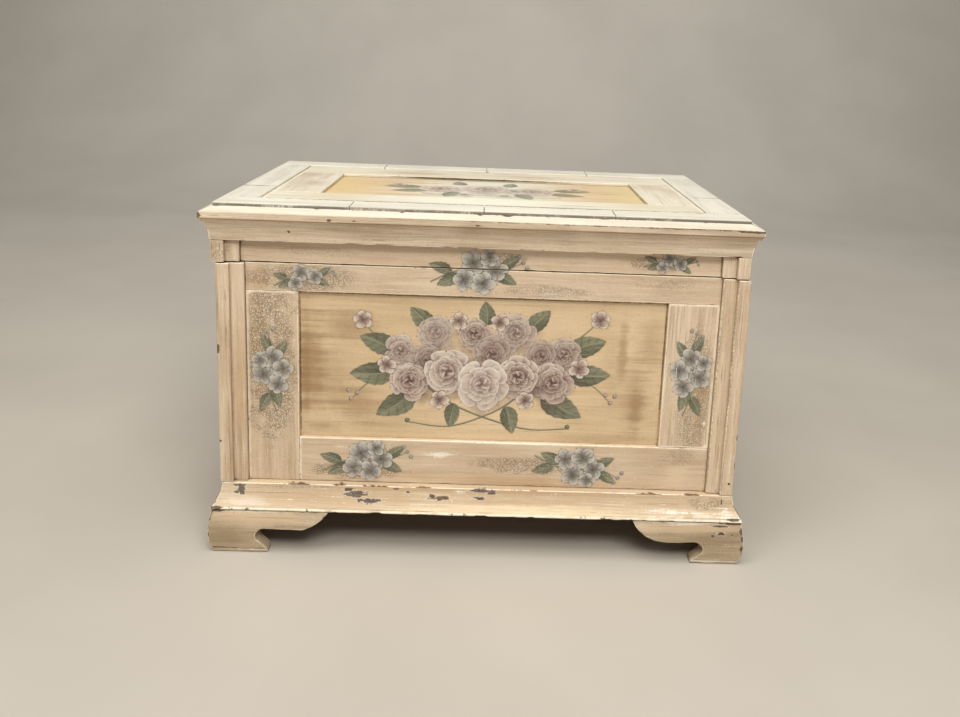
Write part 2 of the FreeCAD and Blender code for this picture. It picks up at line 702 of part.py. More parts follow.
lid_rail("lid_front_rail", ty0, pn_y0, in_y0, pn_y0, box(ls - 250.0, ls + 250.0, pn_y0 - gv, pn_y0, pz0, pz1))
lid_rail("lid_back_rail", pn_y1, ty1, pn_y1, in_y1, box(ls - 250.0, ls + 250.0, pn_y1, pn_y1 + gv, pz0, pz1))
for side, sx in (("left", -1), ("right", 1)):

    def xs(a, b, *rest):
        lo, hi = size(a) * sx + ls, size(b) * sx + ls
        return box(lo, hi, *rest) if sx > 0 else box(hi, lo, *rest)

    stile = cut(
        fuse(xs(pn_x, sx_half, pn_y0, pn_y1, z3, zs), xs(pn_x, in_x, pn_y0, pn_y1, z3, zfm),
             xs(pn_x, 249.5, pn_y0 - gv + fit, pn_y1 + gv - fit, pz0, pz1)),
        xs(pn_x, pn_x + gv, pn_y0 - gv, pn_y1 + gv, pz0, pz1))
    finish(stile, "lid_%s_stile" % side, "z", zfm.value, 0.4)
name_part(box(ls - pn_x - gv + fit, ls + pn_x + gv - fit, pn_y0 - gv + fit, pn_y1 + gv - fit, pz0 + sf, pz1 - sf), "lid_panel")

jt = d("joint") * 0.5


def strip(x0, x1, ya, yb):
    b = box(x0, x1, ya, yb, zs, zt)
    return soften(b, 0.7, on_plane("z", zt.value), "Part::Fillet")


cuts = [-148.9, -3.8, 139.5]
xs_ = [ls - sx_half] + [size(c) for c in cuts] + [ls + sx_half]
name_part(group(*[
    strip(xs_[i] + (jt if i else 0.0), xs_[i + 1] - (jt if i < 3 else 0.0), ty0, in_y0) for i in range(4)]),
    "lid_border_front")
cuts = [-150.9, -4.5, 139.4]
xs_ = [ls - sx_half] + [size(c) for c in cuts] + [ls + sx_half]
name_part(group(*[
    strip(xs_[i] + (jt if i else 0.0), xs_[i + 1] - (jt if i < 3 else 0.0), in_y1, ty1) for i in range(4)]),
    "lid_border_back")
sides = []
for sx, where in ((-1, 126.5), (1, 153.5)):
    mid = fy + where
    x0, x1 = (ls - sx_half, ls - in_x) if sx < 0 else (ls + in_x, ls + sx_half)
    sides.append(strip(x0, x1, in_y0, mid - jt))
    sides.append(strip(x0, x1, mid + jt, in_y1))
name_part(group(*sides), "lid_border_sides")

# ---------------------------------------------------------------- hinges
hy, hz = by + d("hinge_out"), d("z_hinge")
kr, pr, lt = d("knuckle_r"), d("pin_r"), d("leaf_t")
KN = 10.0
play = 0.15


def knuckles(cx, which):
    out = []
    for k in which:
        x0 = cx - 25.0 + k * KN + (0.0 if k == 0 else play)
        x1 = cx - 25.0 + (k + 1) * KN - (0.0 if k == 4 else play)
        out.append((x0, x1))
    return out


def leaf(cx, which, z0, z1_, hole, heads, head_up):
    pieces = [box(cx - hl, cx + hl, by - d("leaf_w"), by, z0, z1_)]
    for x0, x1 in knuckles(cx, which):
        pieces.append(box(x0, x1, by - 1.0, hy, z0, z1_))
        pieces.append(rod("X", x0, hy, hz, kr, x1 - x0))
    tools = [rod("X", cx - hl - 1.0, hy, hz, hole, d("leaf_len") + 2.0)]
    for o in SCREWS:
        if head_up:
            tools.append(rod("Z", cx + o, by - SCREW_IN, z0, d("screw_r"), lt, "Part::Cone", d("screw_head")))
        else:
            tools.append(rod("Z", cx + o, by - SCREW_IN, z0, d("screw_head"), lt, "Part::Cone", d("screw_r")))
    return cut(fuse(*pieces), *tools)


name_part(group(*[leaf(s * hx, (0, 2, 4), zr - lt, zr, pr, SCREWS, True) for s in (-1, 1)]), "hinge_body_leaves")
name_part(group(*[leaf(s * hx, (1, 3), z1, z1 + lt, pr + 0.03, SCREWS, False) for s in (-1, 1)]), "hinge_lid_leaves")
name_part(group(*[rod("X", s * hx - hl, hy, hz, pr, d("leaf_len")) for s in (-1, 1)]), "hinge_pins")


def screw(axis, x, y, z, sign, length):
    """A countersunk screw, head at the given point, shank along sign * axis."""
    r, h = d("screw_r"), d("screw_head")
    x, y, z = size(x), size(y), size(z)
    step = lambda a, k: {"X": (x + size(k) * a, y, z), "Z": (x, y, z + size(k) * a)}[axis]
    if sign > 0:
        return fuse(rod(axis, x, y, z, h, lt, "Part::Cone", r), rod(axis, *step(1, lt), r, length))
    return fuse(rod(axis, *step(-1, lt), r, lt, "Part::Cone", h), rod(axis, *step(-1, lt + length), r, length))


case_screws = [screw("Z", s * hx + o, by - SCREW_IN, zr, -1, shank) for s in (-1, 1) for o in SCREWS]
lid_screws = [screw("Z", s * hx + o, by - SCREW_IN, z1, 1, shank) for s in (-1, 1) for o in SCREWS]

# ---------------------------------------------------------------- folding stay, on the right
#
# The hinge line, the two fixed pivots and the elbow make a parallelogram, so the lower arm turns
# with the lid and the upper arm keeps its direction.
bf, bd, af, au = d("stay_b_fwd"), d("stay_b_down"), d("stay_a_fwd"), d("stay_a_up")
pby, pbz = hy - bf, hz - bd            # pivot on the case
pay, paz = hy - af, hz + au            # pivot on the lid
pey, pez = pby - af, pbz + au          # elbow
inner = ch - face - ft                 # inner face of the side frame
at, aw, sr, sfit = d("arm_t"), d("arm_w"), d("stud_r"), d("stud_fit")
xa1 = inner - 2.5                      # lower arm's outer face
xa0 = xa1 - at
xb1 = xa0 - 0.3                        # upper arm's outer face
xb0 = xb1 - at

plate = cut(
    fuse(box(inner - 2.0, inner, pby - 9.0, pby + 9.0, pbz - 23.0, pbz + 23.0),
         rod("X", xa0 - 1.1, pby, pbz, sr, 5.6), rod("X", xa0 - 2.1, pby, pbz, 4.0, 1.0)),
    *[rod("X", inner - 2.0, pby, pbz + dz, d("screw_head"), 2.0, "Part::Cone", d("screw_r")) for dz in (-16.0, 16.0)])
name_part(plate, "stay_body_plate")


def stay_screw(x, y, z, length):
    return fuse(rod("X", x - 2.0, y, z, d("screw_head"), 2.0, "Part::Cone", d("screw_r")),
                rod("X", x, y, z, d("screw_r"), length))


case_screws += [stay_screw(inner, pby, pbz + dz, 10.0) for dz in (-16.0, 16.0)]
name_part(group(*case_screws), "body_screws")


def bar_arm(x0, pa, pb):
    """Flat arm between pivots pa and pb with round ends."""
    dy, dz = pb[0].value - pa[0].value, pb[1].value - pa[1].value
    length, angle = math.hypot(dy, dz), math.degrees(math.atan2(dz, dy))
    b = doc.addObject("Part::Box", fresh("bar"))
    b.setExpression("Length", at.text)
    b.Width = length
    b.setExpression("Height", aw.text)
    turn = FreeCAD.Rotation(V(1, 0, 0), angle)
    off = turn.multVec(V(0, 0, -aw.value / 2))
    b.Placement = FreeCAD.Placement(V(x0.value, pa[0].value + off.y, pa[1].value + off.z), turn)
    return fuse(b, rod("X", x0, pa[0], pa[1], 0.5 * aw, at), rod("X", x0, pb[0], pb[1], 0.5 * aw, at))


B, E, A = (pby, pbz), (pey, pez), (pay, paz)
lower = fuse(
    cut(bar_arm(xa0, B, E), rod("X", xa0 - 1.0, pby, pbz, sr + sfit, at + 2.0)),
    rod("X", xb0 - 0.5, pey, pez, sr, at + 0.9), rod("X", xb0 - 1.5, pey, pez, 4.0, 1.0))
name_part(lower, "stay_lower_arm")
upper = cut(
    bar_arm(xb0, E, A),
    rod("X", xb0 - 1.0, pey, pez, sr + sfit, at + 2.0), rod("X", xb0 - 1.0, pay, paz, sr + sfit, at + 2.0))
name_part(upper, "stay_upper_arm")

lin = lh - face - fz + ls              # inner face of the lid's side frieze
plate = cut(
    fuse(box(lin - 2.0, lin, pay - 15.0, pay + 15.0, paz - 12.0, z2 - 0.5),
         rod("X", xb1 + 0.3, pay, paz, 5.0, lin - xb1 - 0.3),
         rod("X", xb0 - 0.5, pay, paz, sr, at + 1.0), rod("X", xb0 - 1.5, pay, paz, 4.0, 1.0)),
    *[rod("X", lin - 2.0, pay + dy, paz - 7.0, d("screw_head"), 2.0, "Part::Cone", d("screw_r")) for dy in (-11.0, 11.0)])
name_part(plate, "stay_lid_plate")
lid_screws += [stay_screw(lin, pay + dy, paz - 7.0, 9.0) for dy in (-11.0, 11.0)]
name_part(group(*lid_screws), "lid_screws")

# ---------------------------------------------------------------- checks and files
doc.recompute()
bad = [o.Label for o in doc.Objects if "Invalid" in o.State or "Error" in o.State]
if bad:
    raise RuntimeError("failed objects: %s" % bad)
names = [n for n, _ in PARTS]
if len(set(names)) != len(names) or len(names) > 60:
    raise RuntimeError("names clash or too many parts: %d" % len(names))
for node, obj in PARTS:
    s = obj.Shape
    if s.isNull() or not s.isValid() or s.Volume <= 0 or not s.Solids:
        raise RuntimeError("bad shape: " + node)
    for solid in s.Solids:
        if solid.Volume < 1.0:
            raise RuntimeError("sliver in " + node)
os.makedirs("parts", exist_ok=True)
whole = FreeCAD.BoundBox()
for node, obj in PARTS:
    obj.Shape.exportStep("parts/%s.step" % node)
    whole.add(obj.Shape.BoundBox)
print(len(PARTS), "parts; box", [round(v, 3) for v in (whole.XMin, whole.XMax, whole.YMin, whole.YMax, whole.ZMin, whole.ZMax)])
for node, obj in PARTS:
    bb = obj.Shape.BoundBox
    print("%-26s %d solids %9.0f mm3  x %.1f..%.1f y %.1f..%.1f z %.1f..%.1f" % (
        node, len(obj.Shape.Solids), obj.Shape.Volume, bb.XMin, bb.XMax, bb.YMin, bb.YMax, bb.ZMin, bb.ZMax))
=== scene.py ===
"""Looks of a small painted chest: antique cream and ochre paint, worn edges, a painted flower spray."""

import json
import math

import bmesh
import bpy
import numpy as np
from mathutils import Matrix, Vector

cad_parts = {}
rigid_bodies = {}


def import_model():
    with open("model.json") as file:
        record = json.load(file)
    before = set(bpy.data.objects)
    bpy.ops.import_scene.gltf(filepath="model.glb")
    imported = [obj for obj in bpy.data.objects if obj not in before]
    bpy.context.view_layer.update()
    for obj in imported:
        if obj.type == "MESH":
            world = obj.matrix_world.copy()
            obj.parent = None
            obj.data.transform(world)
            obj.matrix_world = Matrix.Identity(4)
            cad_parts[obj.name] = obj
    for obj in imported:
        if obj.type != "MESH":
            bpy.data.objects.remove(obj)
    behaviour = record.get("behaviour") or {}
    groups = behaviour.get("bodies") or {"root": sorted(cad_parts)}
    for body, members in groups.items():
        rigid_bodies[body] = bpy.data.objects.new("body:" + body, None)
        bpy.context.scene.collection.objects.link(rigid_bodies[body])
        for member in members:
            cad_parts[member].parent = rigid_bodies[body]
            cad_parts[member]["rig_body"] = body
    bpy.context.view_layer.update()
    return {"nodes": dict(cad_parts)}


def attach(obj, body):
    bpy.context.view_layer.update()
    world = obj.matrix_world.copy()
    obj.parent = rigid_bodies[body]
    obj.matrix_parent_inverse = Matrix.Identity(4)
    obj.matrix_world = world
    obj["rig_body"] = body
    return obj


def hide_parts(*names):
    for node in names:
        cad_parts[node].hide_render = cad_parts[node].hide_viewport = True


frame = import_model()
NODES = frame["nodes"]
scene = bpy.context.scene
scene.view_settings.view_transform = "Standard"
scene.view_settings.look = "None"

# ---------------------------------------------------------------- camera

axes = ((0.999069616643035, -0.03484119163778391, -0.025416381843180014),
        (-0.017850441710466892, 0.20241274395399841, -0.9791376015738311),
        (0.0392589204064546, 0.9786803218877307, 0.20160249184533255))
eye = (0.0042929, -1.1487577, 0.5748844)
cam_data = bpy.data.cameras.new("camera")
cam_data.sensor_fit = "HORIZONTAL"
cam_data.sensor_width = 36.0
cam_data.lens = 36.0 * 909.958 / 960.0
cam_data.shift_x = (480.0 - 513.694) / 960.0
cam_data.shift_y = (238.7555 - 358.5) / 960.0
cam_data.clip_start = 0.05
camera = bpy.data.objects.new("camera", cam_data)
scene.collection.objects.link(camera)
camera.matrix_world = Matrix([[*axes[i], eye[i]] for i in range(3)] + [[0, 0, 0, 1]])
scene.camera = camera

# ---------------------------------------------------------------- noise on points


def _hash(ix, iy, iz, seed):
    h = (ix.astype(np.int64) * 374761393 + iy.astype(np.int64) * 668265263
         + iz.astype(np.int64) * 1274126177 + seed * 362437) & 0xFFFFFFFF
    h = ((h ^ (h >> 13)) * 1103515245) & 0xFFFFFFFF
    h = ((h ^ (h >> 16)) * 2654435761) & 0xFFFFFFFF
    return ((h >> 8) & 0xFFFF) / 65535.0


def value_noise(x, y, z, seed=0):
    """Smooth noise from 0 to 1."""
    x, y, z = np.broadcast_arrays(np.asarray(x, float), np.asarray(y, float), np.asarray(z, float))
    ix, iy, iz = np.floor(x), np.floor(y), np.floor(z)
    fx, fy, fz = x - ix, y - iy, z - iz
    fx, fy, fz = fx * fx * (3 - 2 * fx), fy * fy * (3 - 2 * fy), fz * fz * (3 - 2 * fz)
    total = 0.0
    for a in (0, 1):
        for b in (0, 1):
            for c in (0, 1):
                w = (fx if a else 1 - fx) * (fy if b else 1 - fy) * (fz if c else 1 - fz)
                total = total + w * _hash(ix + a, iy + b, iz + c, seed)
    return total


def fbm(x, y, z=0.0, seed=0, octaves=3):
    total, gain, top = 0.0, 1.0, 0.0
    for k in range(octaves):
        s = 2.0 ** k
        total = total + gain * value_noise(np.asarray(x) * s, np.asarray(y) * s, np.asarray(z) * s, seed + 17 * k)
        top += gain
        gain *= 0.5
    return total / top


def ramp(v, a, b):
    t = np.clip((v - a) / (b - a), 0, 1)
    return t * t * (3 - 2 * t)


def linear(c):
    """A colour given as 0 to 255 in display values, as linear numbers."""
    c = np.asarray(c, float) / 255.0
    return np.where(c <= 0.04045, c / 12.92, ((c + 0.055) / 1.055) ** 2.4)


# ---------------------------------------------------------------- node helpers


class Mat:
    """A material's node tree, with short names for the nodes used here."""

    def __init__(self, name):
        self.m = bpy.data.materials.new(name)
        self.m.use_nodes = True
        self.t = self.m.node_tree
        self.t.nodes.clear()
        self.out = self.t.nodes.new("ShaderNodeOutputMaterial")

    def add(self, kind, **props):
        n = self.t.nodes.new("ShaderNode" + kind)
        for k, v in props.items():
            setattr(n, k, v)
        return n

    def put(self, socket, value):
        if isinstance(value, bpy.types.NodeSocket):
            self.t.links.new(value, socket)
        elif isinstance(value, (tuple, list)) and len(value) == 3 and socket.type == "RGBA":
            socket.default_value = (*linear(value), 1.0)
        else:
            socket.default_value = value

    def coords(self):
        if not hasattr(self, "_co"):
            self._co = self.add("TexCoord").outputs["Object"]
        return self._co

    def math(self, op, a, b=0.5, c=None, clamp=False):
        n = self.add("Math", operation=op, use_clamp=clamp)
        self.put(n.inputs[0], a)
        self.put(n.inputs[1], b)
        if c is not None:
            self.put(n.inputs[2], c)
        return n.outputs[0]

    def vec(self, op, a, b=(0, 0, 0)):
        n = self.add("VectorMath", operation=op)
        self.put(n.inputs[0], a)
        if op == "SCALE":
            self.put(n.inputs["Scale"], b)
        elif op != "LENGTH":
            self.put(n.inputs[1], b)
        return n.outputs["Value" if op in ("LENGTH", "DOT_PRODUCT") else "Vector"]

    def mix(self, fac, a, b, blend="MIX"):
        n = self.add("Mix", data_type="RGBA", blend_type=blend, clamp_factor=True)
        self.put(n.inputs[0], fac)
        self.put(n.inputs[6], a)
        self.put(n.inputs[7], b)
        return n.outputs[2]

    def noise(self, vec, scale, detail=2.0, rough=0.5, dist=0.0, out="Fac"):
        n = self.add("TexNoise")
        self.put(n.inputs["Vector"], vec)
        for k, v in (("Scale", scale), ("Detail", detail), ("Roughness", rough), ("Distortion", dist)):
            self.put(n.inputs[k], v)
        return n.outputs[out]

    def cells(self, vec, scale, feature="F1", rand=1.0, out="Distance"):
        n = self.add("TexVoronoi", feature=feature)
        self.put(n.inputs["Vector"], vec)
        self.put(n.inputs["Scale"], scale)
        self.put(n.inputs["Randomness"], rand)
        return n.outputs[out]

    def band(self, v, a, b, c=0.0, d=1.0):
        n = self.add("MapRange", interpolation_type="SMOOTHSTEP", clamp=True)
        for i, x in enumerate((v, a, b, c, d)):
            self.put(n.inputs[i], x)
        return n.outputs[0]

    def attribute(self, name, out="Fac"):
        return self.add("Attribute", attribute_name=name).outputs[out]

    def spot(self, vec, centre, radii, rough_edge=None, inner=0.35):
        """1 at centre, falling to 0 at the radii, with an uneven rim."""
        d = self.vec("SUBTRACT", vec, centre)
        d = self.vec("MULTIPLY", d, tuple(1.0 / r for r in radii))
        d = self.vec("LENGTH", d)
        if rough_edge is not None:
            d = self.math("ADD", d, rough_edge)
        return self.band(d, 1.0, inner)

    def shader(self, colour, rough=0.6, height=None, bump=0.5, depth=0.0004, spec=0.4, metal=0.0, coat=0.0):
        p = self.add("BsdfPrincipled")
        self.put(p.inputs["Base Color"], colour)
        self.put(p.inputs["Roughness"], rough)
        self.put(p.inputs["Metallic"], metal)
        p.inputs["Specular IOR Level"].default_value = spec
        if coat:
            p.inputs["Coat Weight"].default_value = coat
            p.inputs["Coat Roughness"].default_value = 0.35
        if height is not None:
            b = self.add("Bump")
            b.inputs["Strength"].default_value = bump
            b.inputs["Distance"].default_value = depth
            self.put(b.inputs["Height"], height)
            self.t.links.new(b.outputs[0], p.inputs["Normal"])
        self.t.links.new(p.outputs[0], self.out.inputs["Surface"])
        return self.m


LONG = {"x": (1, 0, 0), "y": (0, 1, 0), "z": (0, 0, 1)}


def stretched(m, vec, along, length_scale, cross_scale):
    s = tuple(length_scale if LONG[along][i] else cross_scale for i in range(3))
    return m.vec("MULTIPLY", vec, s)


def paint(name, along, tint, shade, glaze, pale, seed=0.0, blobs=(), crackle=(), chips=(), white=(), lines=0.5,
          glaze_amount=0.35, deco=False, edge_light=0.8, edge_dark=0.5, dirt=0.8, speck=1.0, streak=0.4,
          front_dirt=0.0, top_white=0.0):
    """Old brushed paint. tint and shade are its two tones, glaze the brown in its hollows, pale its rubbed edges and
    painted edge highlights.
    blobs: (centre, radii, colour, strength). crackle, white: (centre, radii, strength); white also lays a few thin
    painted highlight lines. chips: (centre, radii, colour), and a strength where the chip has no pale rim. Chips also
    lay dark joint lines and a few painted highlight and shadow lines."""
    m = Mat(name)
    at = m.vec("ADD", m.coords(), (seed * 0.37, seed * 0.73, seed * 1.19))
    own = m.coords()
    drift = m.noise(at, 30.0, 2.0, 0.5, 0.0, "Color")
    drift = m.vec("SCALE", m.vec("SUBTRACT", drift, (0.5, 0.5, 0.5)), 0.0022)
    bent = m.vec("ADD", at, drift)
    broad = m.noise(stretched(m, bent, along, 5.0, 130.0), 1.0, 3.0, 0.6)
    fine = m.noise(stretched(m, bent, along, 14.0, 620.0), 1.0, 3.0, 0.65)
    hair = m.noise(stretched(m, bent, along, 7.0, 950.0), 1.0, 2.0, 0.5)
    cloud = m.noise(at, 9.0, 3.0, 0.55)
    mottle = m.noise(at, 55.0, 4.0, 0.6)
    grit = m.noise(at, 420.0, 3.0, 0.6)
    col = m.mix(m.band(cloud, 0.3, 0.7), tint, shade)
    col = m.mix(m.math("MULTIPLY", m.band(broad, 0.5, 0.74), streak), col, glaze)
    col = m.mix(m.math("MULTIPLY", m.band(broad, 0.48, 0.3), streak * 0.8), col, pale)
    col = m.mix(m.math("MULTIPLY", m.band(fine, 0.47, 0.24), 0.5 * lines / 0.5), col, pale)
    col = m.mix(m.math("MULTIPLY", m.band(fine, 0.54, 0.78), 0.42 * lines / 0.5), col, glaze)
    col = m.mix(m.math("MULTIPLY", m.band(grit, 0.52, 0.75), 0.22), col, glaze)
    col = m.mix(m.math("MULTIPLY", m.band(grit, 0.46, 0.28), 0.25), col, pale)
    drag = m.noise(stretched(m, bent, along, 3.0, 34.0), 1.0, 4.0, 0.62)
    gl = m.math("MULTIPLY", m.band(m.math("ADD", m.math("MULTIPLY", cloud, 0.6), drag), 0.74, 1.05), glaze_amount)
    col = m.mix(gl, col, glaze)
    rim = m.math("MULTIPLY", m.math("SUBTRACT", m.noise(at, 70.0, 3.0, 0.6), 0.5), 1.2)
    streaky = m.math("MULTIPLY", m.math("SUBTRACT", broad, 0.5), 1.6)
    for centre, radii, colour, strength in blobs:
        k = m.spot(own, centre, radii, m.math("ADD", streaky, m.math("MULTIPLY", rim, 0.4)), 0.1)
        col = m.mix(m.math("MULTIPLY", k, strength), col, colour)
    height = m.math("MULTIPLY", fine, 0.5)
    height = m.math("ADD", height, m.math("MULTIPLY", broad, 0.7))
    if deco:
        a = m.attribute("deco", "Alpha")
        worn_off = m.band(m.math("ADD", fine, m.math("MULTIPLY", grit, 0.35)), 0.42, 0.62, 0.78, 1.0)
        col = m.mix(m.math("MULTIPLY", a, worn_off), col, m.attribute("deco", "Color"))
    col = m.mix(m.math("MULTIPLY", m.band(hair, 0.6, 0.74), lines * 0.75), col, tuple(0.62 * g for g in glaze))
    if crackle:
        mask = None
        for centre, radii, strength in crackle:
            k = m.math("MULTIPLY", m.spot(own, centre, radii, m.math("MULTIPLY", rim, 0.7), 0.6), strength)
            mask = k if mask is None else m.math("MAXIMUM", mask, k)
        warp = m.vec("ADD", at, m.vec("SCALE", m.noise(at, 300.0, 2.0, 0.5, 0.0, "Color"), 0.0040))
        warp = stretched(m, warp, along, 330.0, 560.0)
        gap = m.cells(warp, 1.0, "DISTANCE_TO_EDGE")
        line = m.math("MULTIPLY", m.band(gap, 0.22, 0.05), m.band(mottle, 0.34, 0.5, 0.3, 1.0))
        dome = m.cells(warp, 1.0, "F1")
        if deco:
            mask = m.math("MULTIPLY", mask, m.math("SUBTRACT", 1.0, m.math("MULTIPLY", a, 0.8)))
        line = m.math("MULTIPLY", line, mask)
        col = m.mix(m.math("MULTIPLY", m.math("MULTIPLY", m.band(dome, 0.55, 0.15), mask), 0.5), col, pale)
        col = m.mix(m.math("MULTIPLY", line, 0.66), col, tuple(0.74 * g for g in glaze))
        height = m.math("SUBTRACT", height, m.math("MULTIPLY", line, 2.2))
    for centre, radii, strength in white:
        k = m.spot(own, centre, radii, m.math("ADD", m.math("MULTIPLY", streaky, 1.3), m.math("MULTIPLY", rim, 1.1)), -0.1)
        k = m.math("ADD", k, m.math("ADD", m.math("MULTIPLY", m.math("SUBTRACT", grit, 0.5), 1.1), m.math("MULTIPLY", m.math("SUBTRACT", fine, 0.5), 2.6)))
        col = m.mix(m.math("MULTIPLY", m.band(k, 0.34, 0.95), strength), col, (240, 233, 216))
    geo = m.add("NewGeometry")
    # pale paint along the eased edges: rubbed-through paint and a painted edge highlight
    edge2 = m.band(m.attribute("edge"), 0.45, 0.95)
    col = m.mix(m.math("MULTIPLY", m.math("MULTIPLY", edge2, m.band(mottle, 0.28, 0.5, 0.25, 1.0)), edge_light), col,
                tuple(min(255.0, 1.04 * g) for g in pale))
    bite = m.math("MULTIPLY", edge2, m.band(m.math("ADD", mottle, m.math("MULTIPLY", grit, 0.35)), 0.78, 0.86))
    bite = m.math("MULTIPLY", bite, edge_dark)
    # up-facing faces mixed towards whitish cream: painted highlight from the light above, and worn paint
    if top_white:
        up = m.vec("DOT_PRODUCT", geo.outputs["Normal"], (0.0, 0.0, 1.0))
        k = m.math("MULTIPLY", m.band(up, 0.45, 0.8), m.band(m.math("ADD", broad, mottle), 0.7, 1.1, 1.0, 0.72))
        col = m.mix(m.math("MULTIPLY", k, top_white), col, (221, 217, 201))
    col = m.mix(bite, col, (82, 66, 52))
    height = m.math("SUBTRACT", height, bite)
    # painted shade and dirt: darker brown where the AO node finds nearby surfaces within 5 mm, in corners, recesses and
    # joints, broken up by mottle
    if dirt:
        ao = m.add("AmbientOcclusion", samples=4)
        ao.inputs["Distance"].default_value = 0.005
        shade_and_dirt_mask = m.band(ao.outputs["AO"], 0.8, 0.34)
        shade_and_dirt_mask = m.math("MULTIPLY", shade_and_dirt_mask, m.band(mottle, 0.3, 0.6, 0.55, 1.0))
        col = m.mix(m.math("MULTIPLY", shade_and_dirt_mask, dirt), col, (104, 80, 54))
    if front_dirt:
        facing = m.vec("DOT_PRODUCT", geo.outputs["Normal"], (0.0, -1.0, 0.0))
        k = m.math("ADD", m.math("MULTIPLY", drag, 1.2), m.math("ADD", m.math("MULTIPLY", mottle, 0.5), m.math("MULTIPLY", grit, 0.3)))
        k = m.math("MULTIPLY", m.band(facing, 0.6, 0.9), m.band(k, 0.74, 0.98))
        k = m.math("MULTIPLY", k, m.band(m.vec("DOT_PRODUCT", own, (0.0, 0.0, 1.0)), 0.4043, 0.4027))
        col = m.mix(m.math("MULTIPLY", k, front_dirt), col, (96, 86, 76))
    if speck:
        d = m.cells(at, 42.0, "F1")
        pick = m.cells(at, 42.0, "F1", 1.0, "Color")
        sep = m.add("SeparateColor")
        m.put(sep.inputs[0], pick)
        size = m.band(sep.outputs[0], 0.55, 1.0, 0.0, 0.05)
        k = m.math("LESS_THAN", d, size)
        col = m.mix(m.math("MULTIPLY", k, 0.75 * speck), col, (92, 70, 48))
    rim2 = m.math("ADD", m.math("MULTIPLY", m.math("SUBTRACT", m.noise(at, 190.0, 4.0, 0.65), 0.5), 2.0), m.math("MULTIPLY", streaky, 0.4))
    rim2 = m.math("ADD", rim2, m.math("MULTIPLY", m.math("SUBTRACT", fine, 0.5), 1.5))
    for centre, radii, colour, *rest in chips:
        d = m.vec("LENGTH", m.vec("MULTIPLY", m.vec("SUBTRACT", own, centre), tuple(1.0 / r for r in radii)))
        d = m.math("ADD", d, rim2)
        halo = m.band(d, 1.16, 1.0)
        if not rest:
            col = m.mix(m.math("MULTIPLY", halo, 0.5), col, pale)
        k = m.math("MULTIPLY", m.band(d, 1.0, 0.86), rest[0] if rest else 0.93)
        bare = m.mix(m.band(m.math("ADD", m.math("MULTIPLY", fine, 0.6), m.math("MULTIPLY", grit, 0.4)), 0.38, 0.6), tuple(min(255.0, 1.12 * c) for c in colour), tuple(0.62 * c for c in colour))
        col = m.mix(k, col, bare)
        height = m.math("SUBTRACT", height, m.math("MULTIPLY", k, 1.6))
    rough = m.band(m.math("ADD", fine, mottle), 0.6, 1.4, 0.46, 0.7)
    return m.shader(col, rough, height, 0.55, 0.00035, 0.35)


def wood(name, along, light, dark, seed=0.0, paint_over=0.0, rough=0.68):
    """Bare softwood with growth rings along one axis."""
    m = Mat(name)
    at = m.vec("ADD", m.coords(), (seed * 0.31, seed * 0.57, seed * 0.83))
    drift = m.vec("SCALE", m.vec("SUBTRACT", m.noise(at, 6.0, 2.0, 0.5, 0.0, "Color"), (0.5, 0.5, 0.5)), 0.05)
    bent = m.vec("ADD", at, drift)
    rings = m.noise(stretched(m, bent, along, 1.6, 60.0), 1.0, 3.0, 0.55, 0.6)
    pores = m.noise(stretched(m, bent, along, 22.0, 900.0), 1.0, 2.0, 0.6)
    cloud = m.noise(at, 8.0, 3.0, 0.5)
    stain = m.noise(at, 34.0, 4.0, 0.6)
    col = m.mix(m.band(rings, 0.35, 0.66), light, dark)
    col = m.mix(m.math("MULTIPLY", m.band(pores, 0.55, 0.75), 0.5), col, tuple(0.62 * c for c in dark))
    col = m.mix(m.math("MULTIPLY", m.band(cloud, 0.4, 0.75), 0.35), col, tuple(0.78 * c for c in dark))
    col = m.mix(m.math("MULTIPLY", m.band(stain, 0.62, 0.8), 0.3), col, (86, 62, 42))
    if paint_over:
        k = m.math("MULTIPLY", m.band(m.math("ADD", cloud, m.math("MULTIPLY", pores, 0.4)), 0.52, 0.78), paint_over)
        col = m.mix(k, col, (212, 192, 158))
    # painted shade: darker brown where the AO node finds surfaces within 2 cm, in corners and inside the box
    ao = m.add("AmbientOcclusion", samples=4)
    ao.inputs["Distance"].default_value = 0.02
    col = m.mix(m.math("MULTIPLY", m.band(ao.outputs["AO"], 0.8, 0.3), 0.5), col, (60, 44, 30))
    height = m.math("ADD", m.math("MULTIPLY", pores, 1.0), m.math("MULTIPLY", rings, 0.5))
    return m.shader(col, m.band(stain, 0.3, 0.7, rough - 0.08, rough + 0.1), height, 0.5, 0.0004, 0.3)


def metal(name, bright, dull, rough, seed=0.0):
    m = Mat(name)
    at = m.vec("ADD", m.coords(), (seed, seed, seed))
    tarnish = m.noise(at, 90.0, 4.0, 0.6)
    scratch = m.noise(m.vec("MULTIPLY", at, (60.0, 2600.0, 2600.0)), 1.0, 2.0, 0.5)
    col = m.mix(m.band(tarnish, 0.4, 0.68), bright, dull)
    col = m.mix(m.math("MULTIPLY", m.band(scratch, 0.6, 0.7), 0.35), col, tuple(min(255, 1.25 * c) for c in bright))
    rough_v = m.band(m.math("ADD", tarnish, m.math("MULTIPLY", scratch, 0.3)), 0.4, 0.9, rough - 0.1, rough + 0.2)
    return m.shader(col, rough_v, scratch, 0.25, 0.00008, 0.5, 1.0)


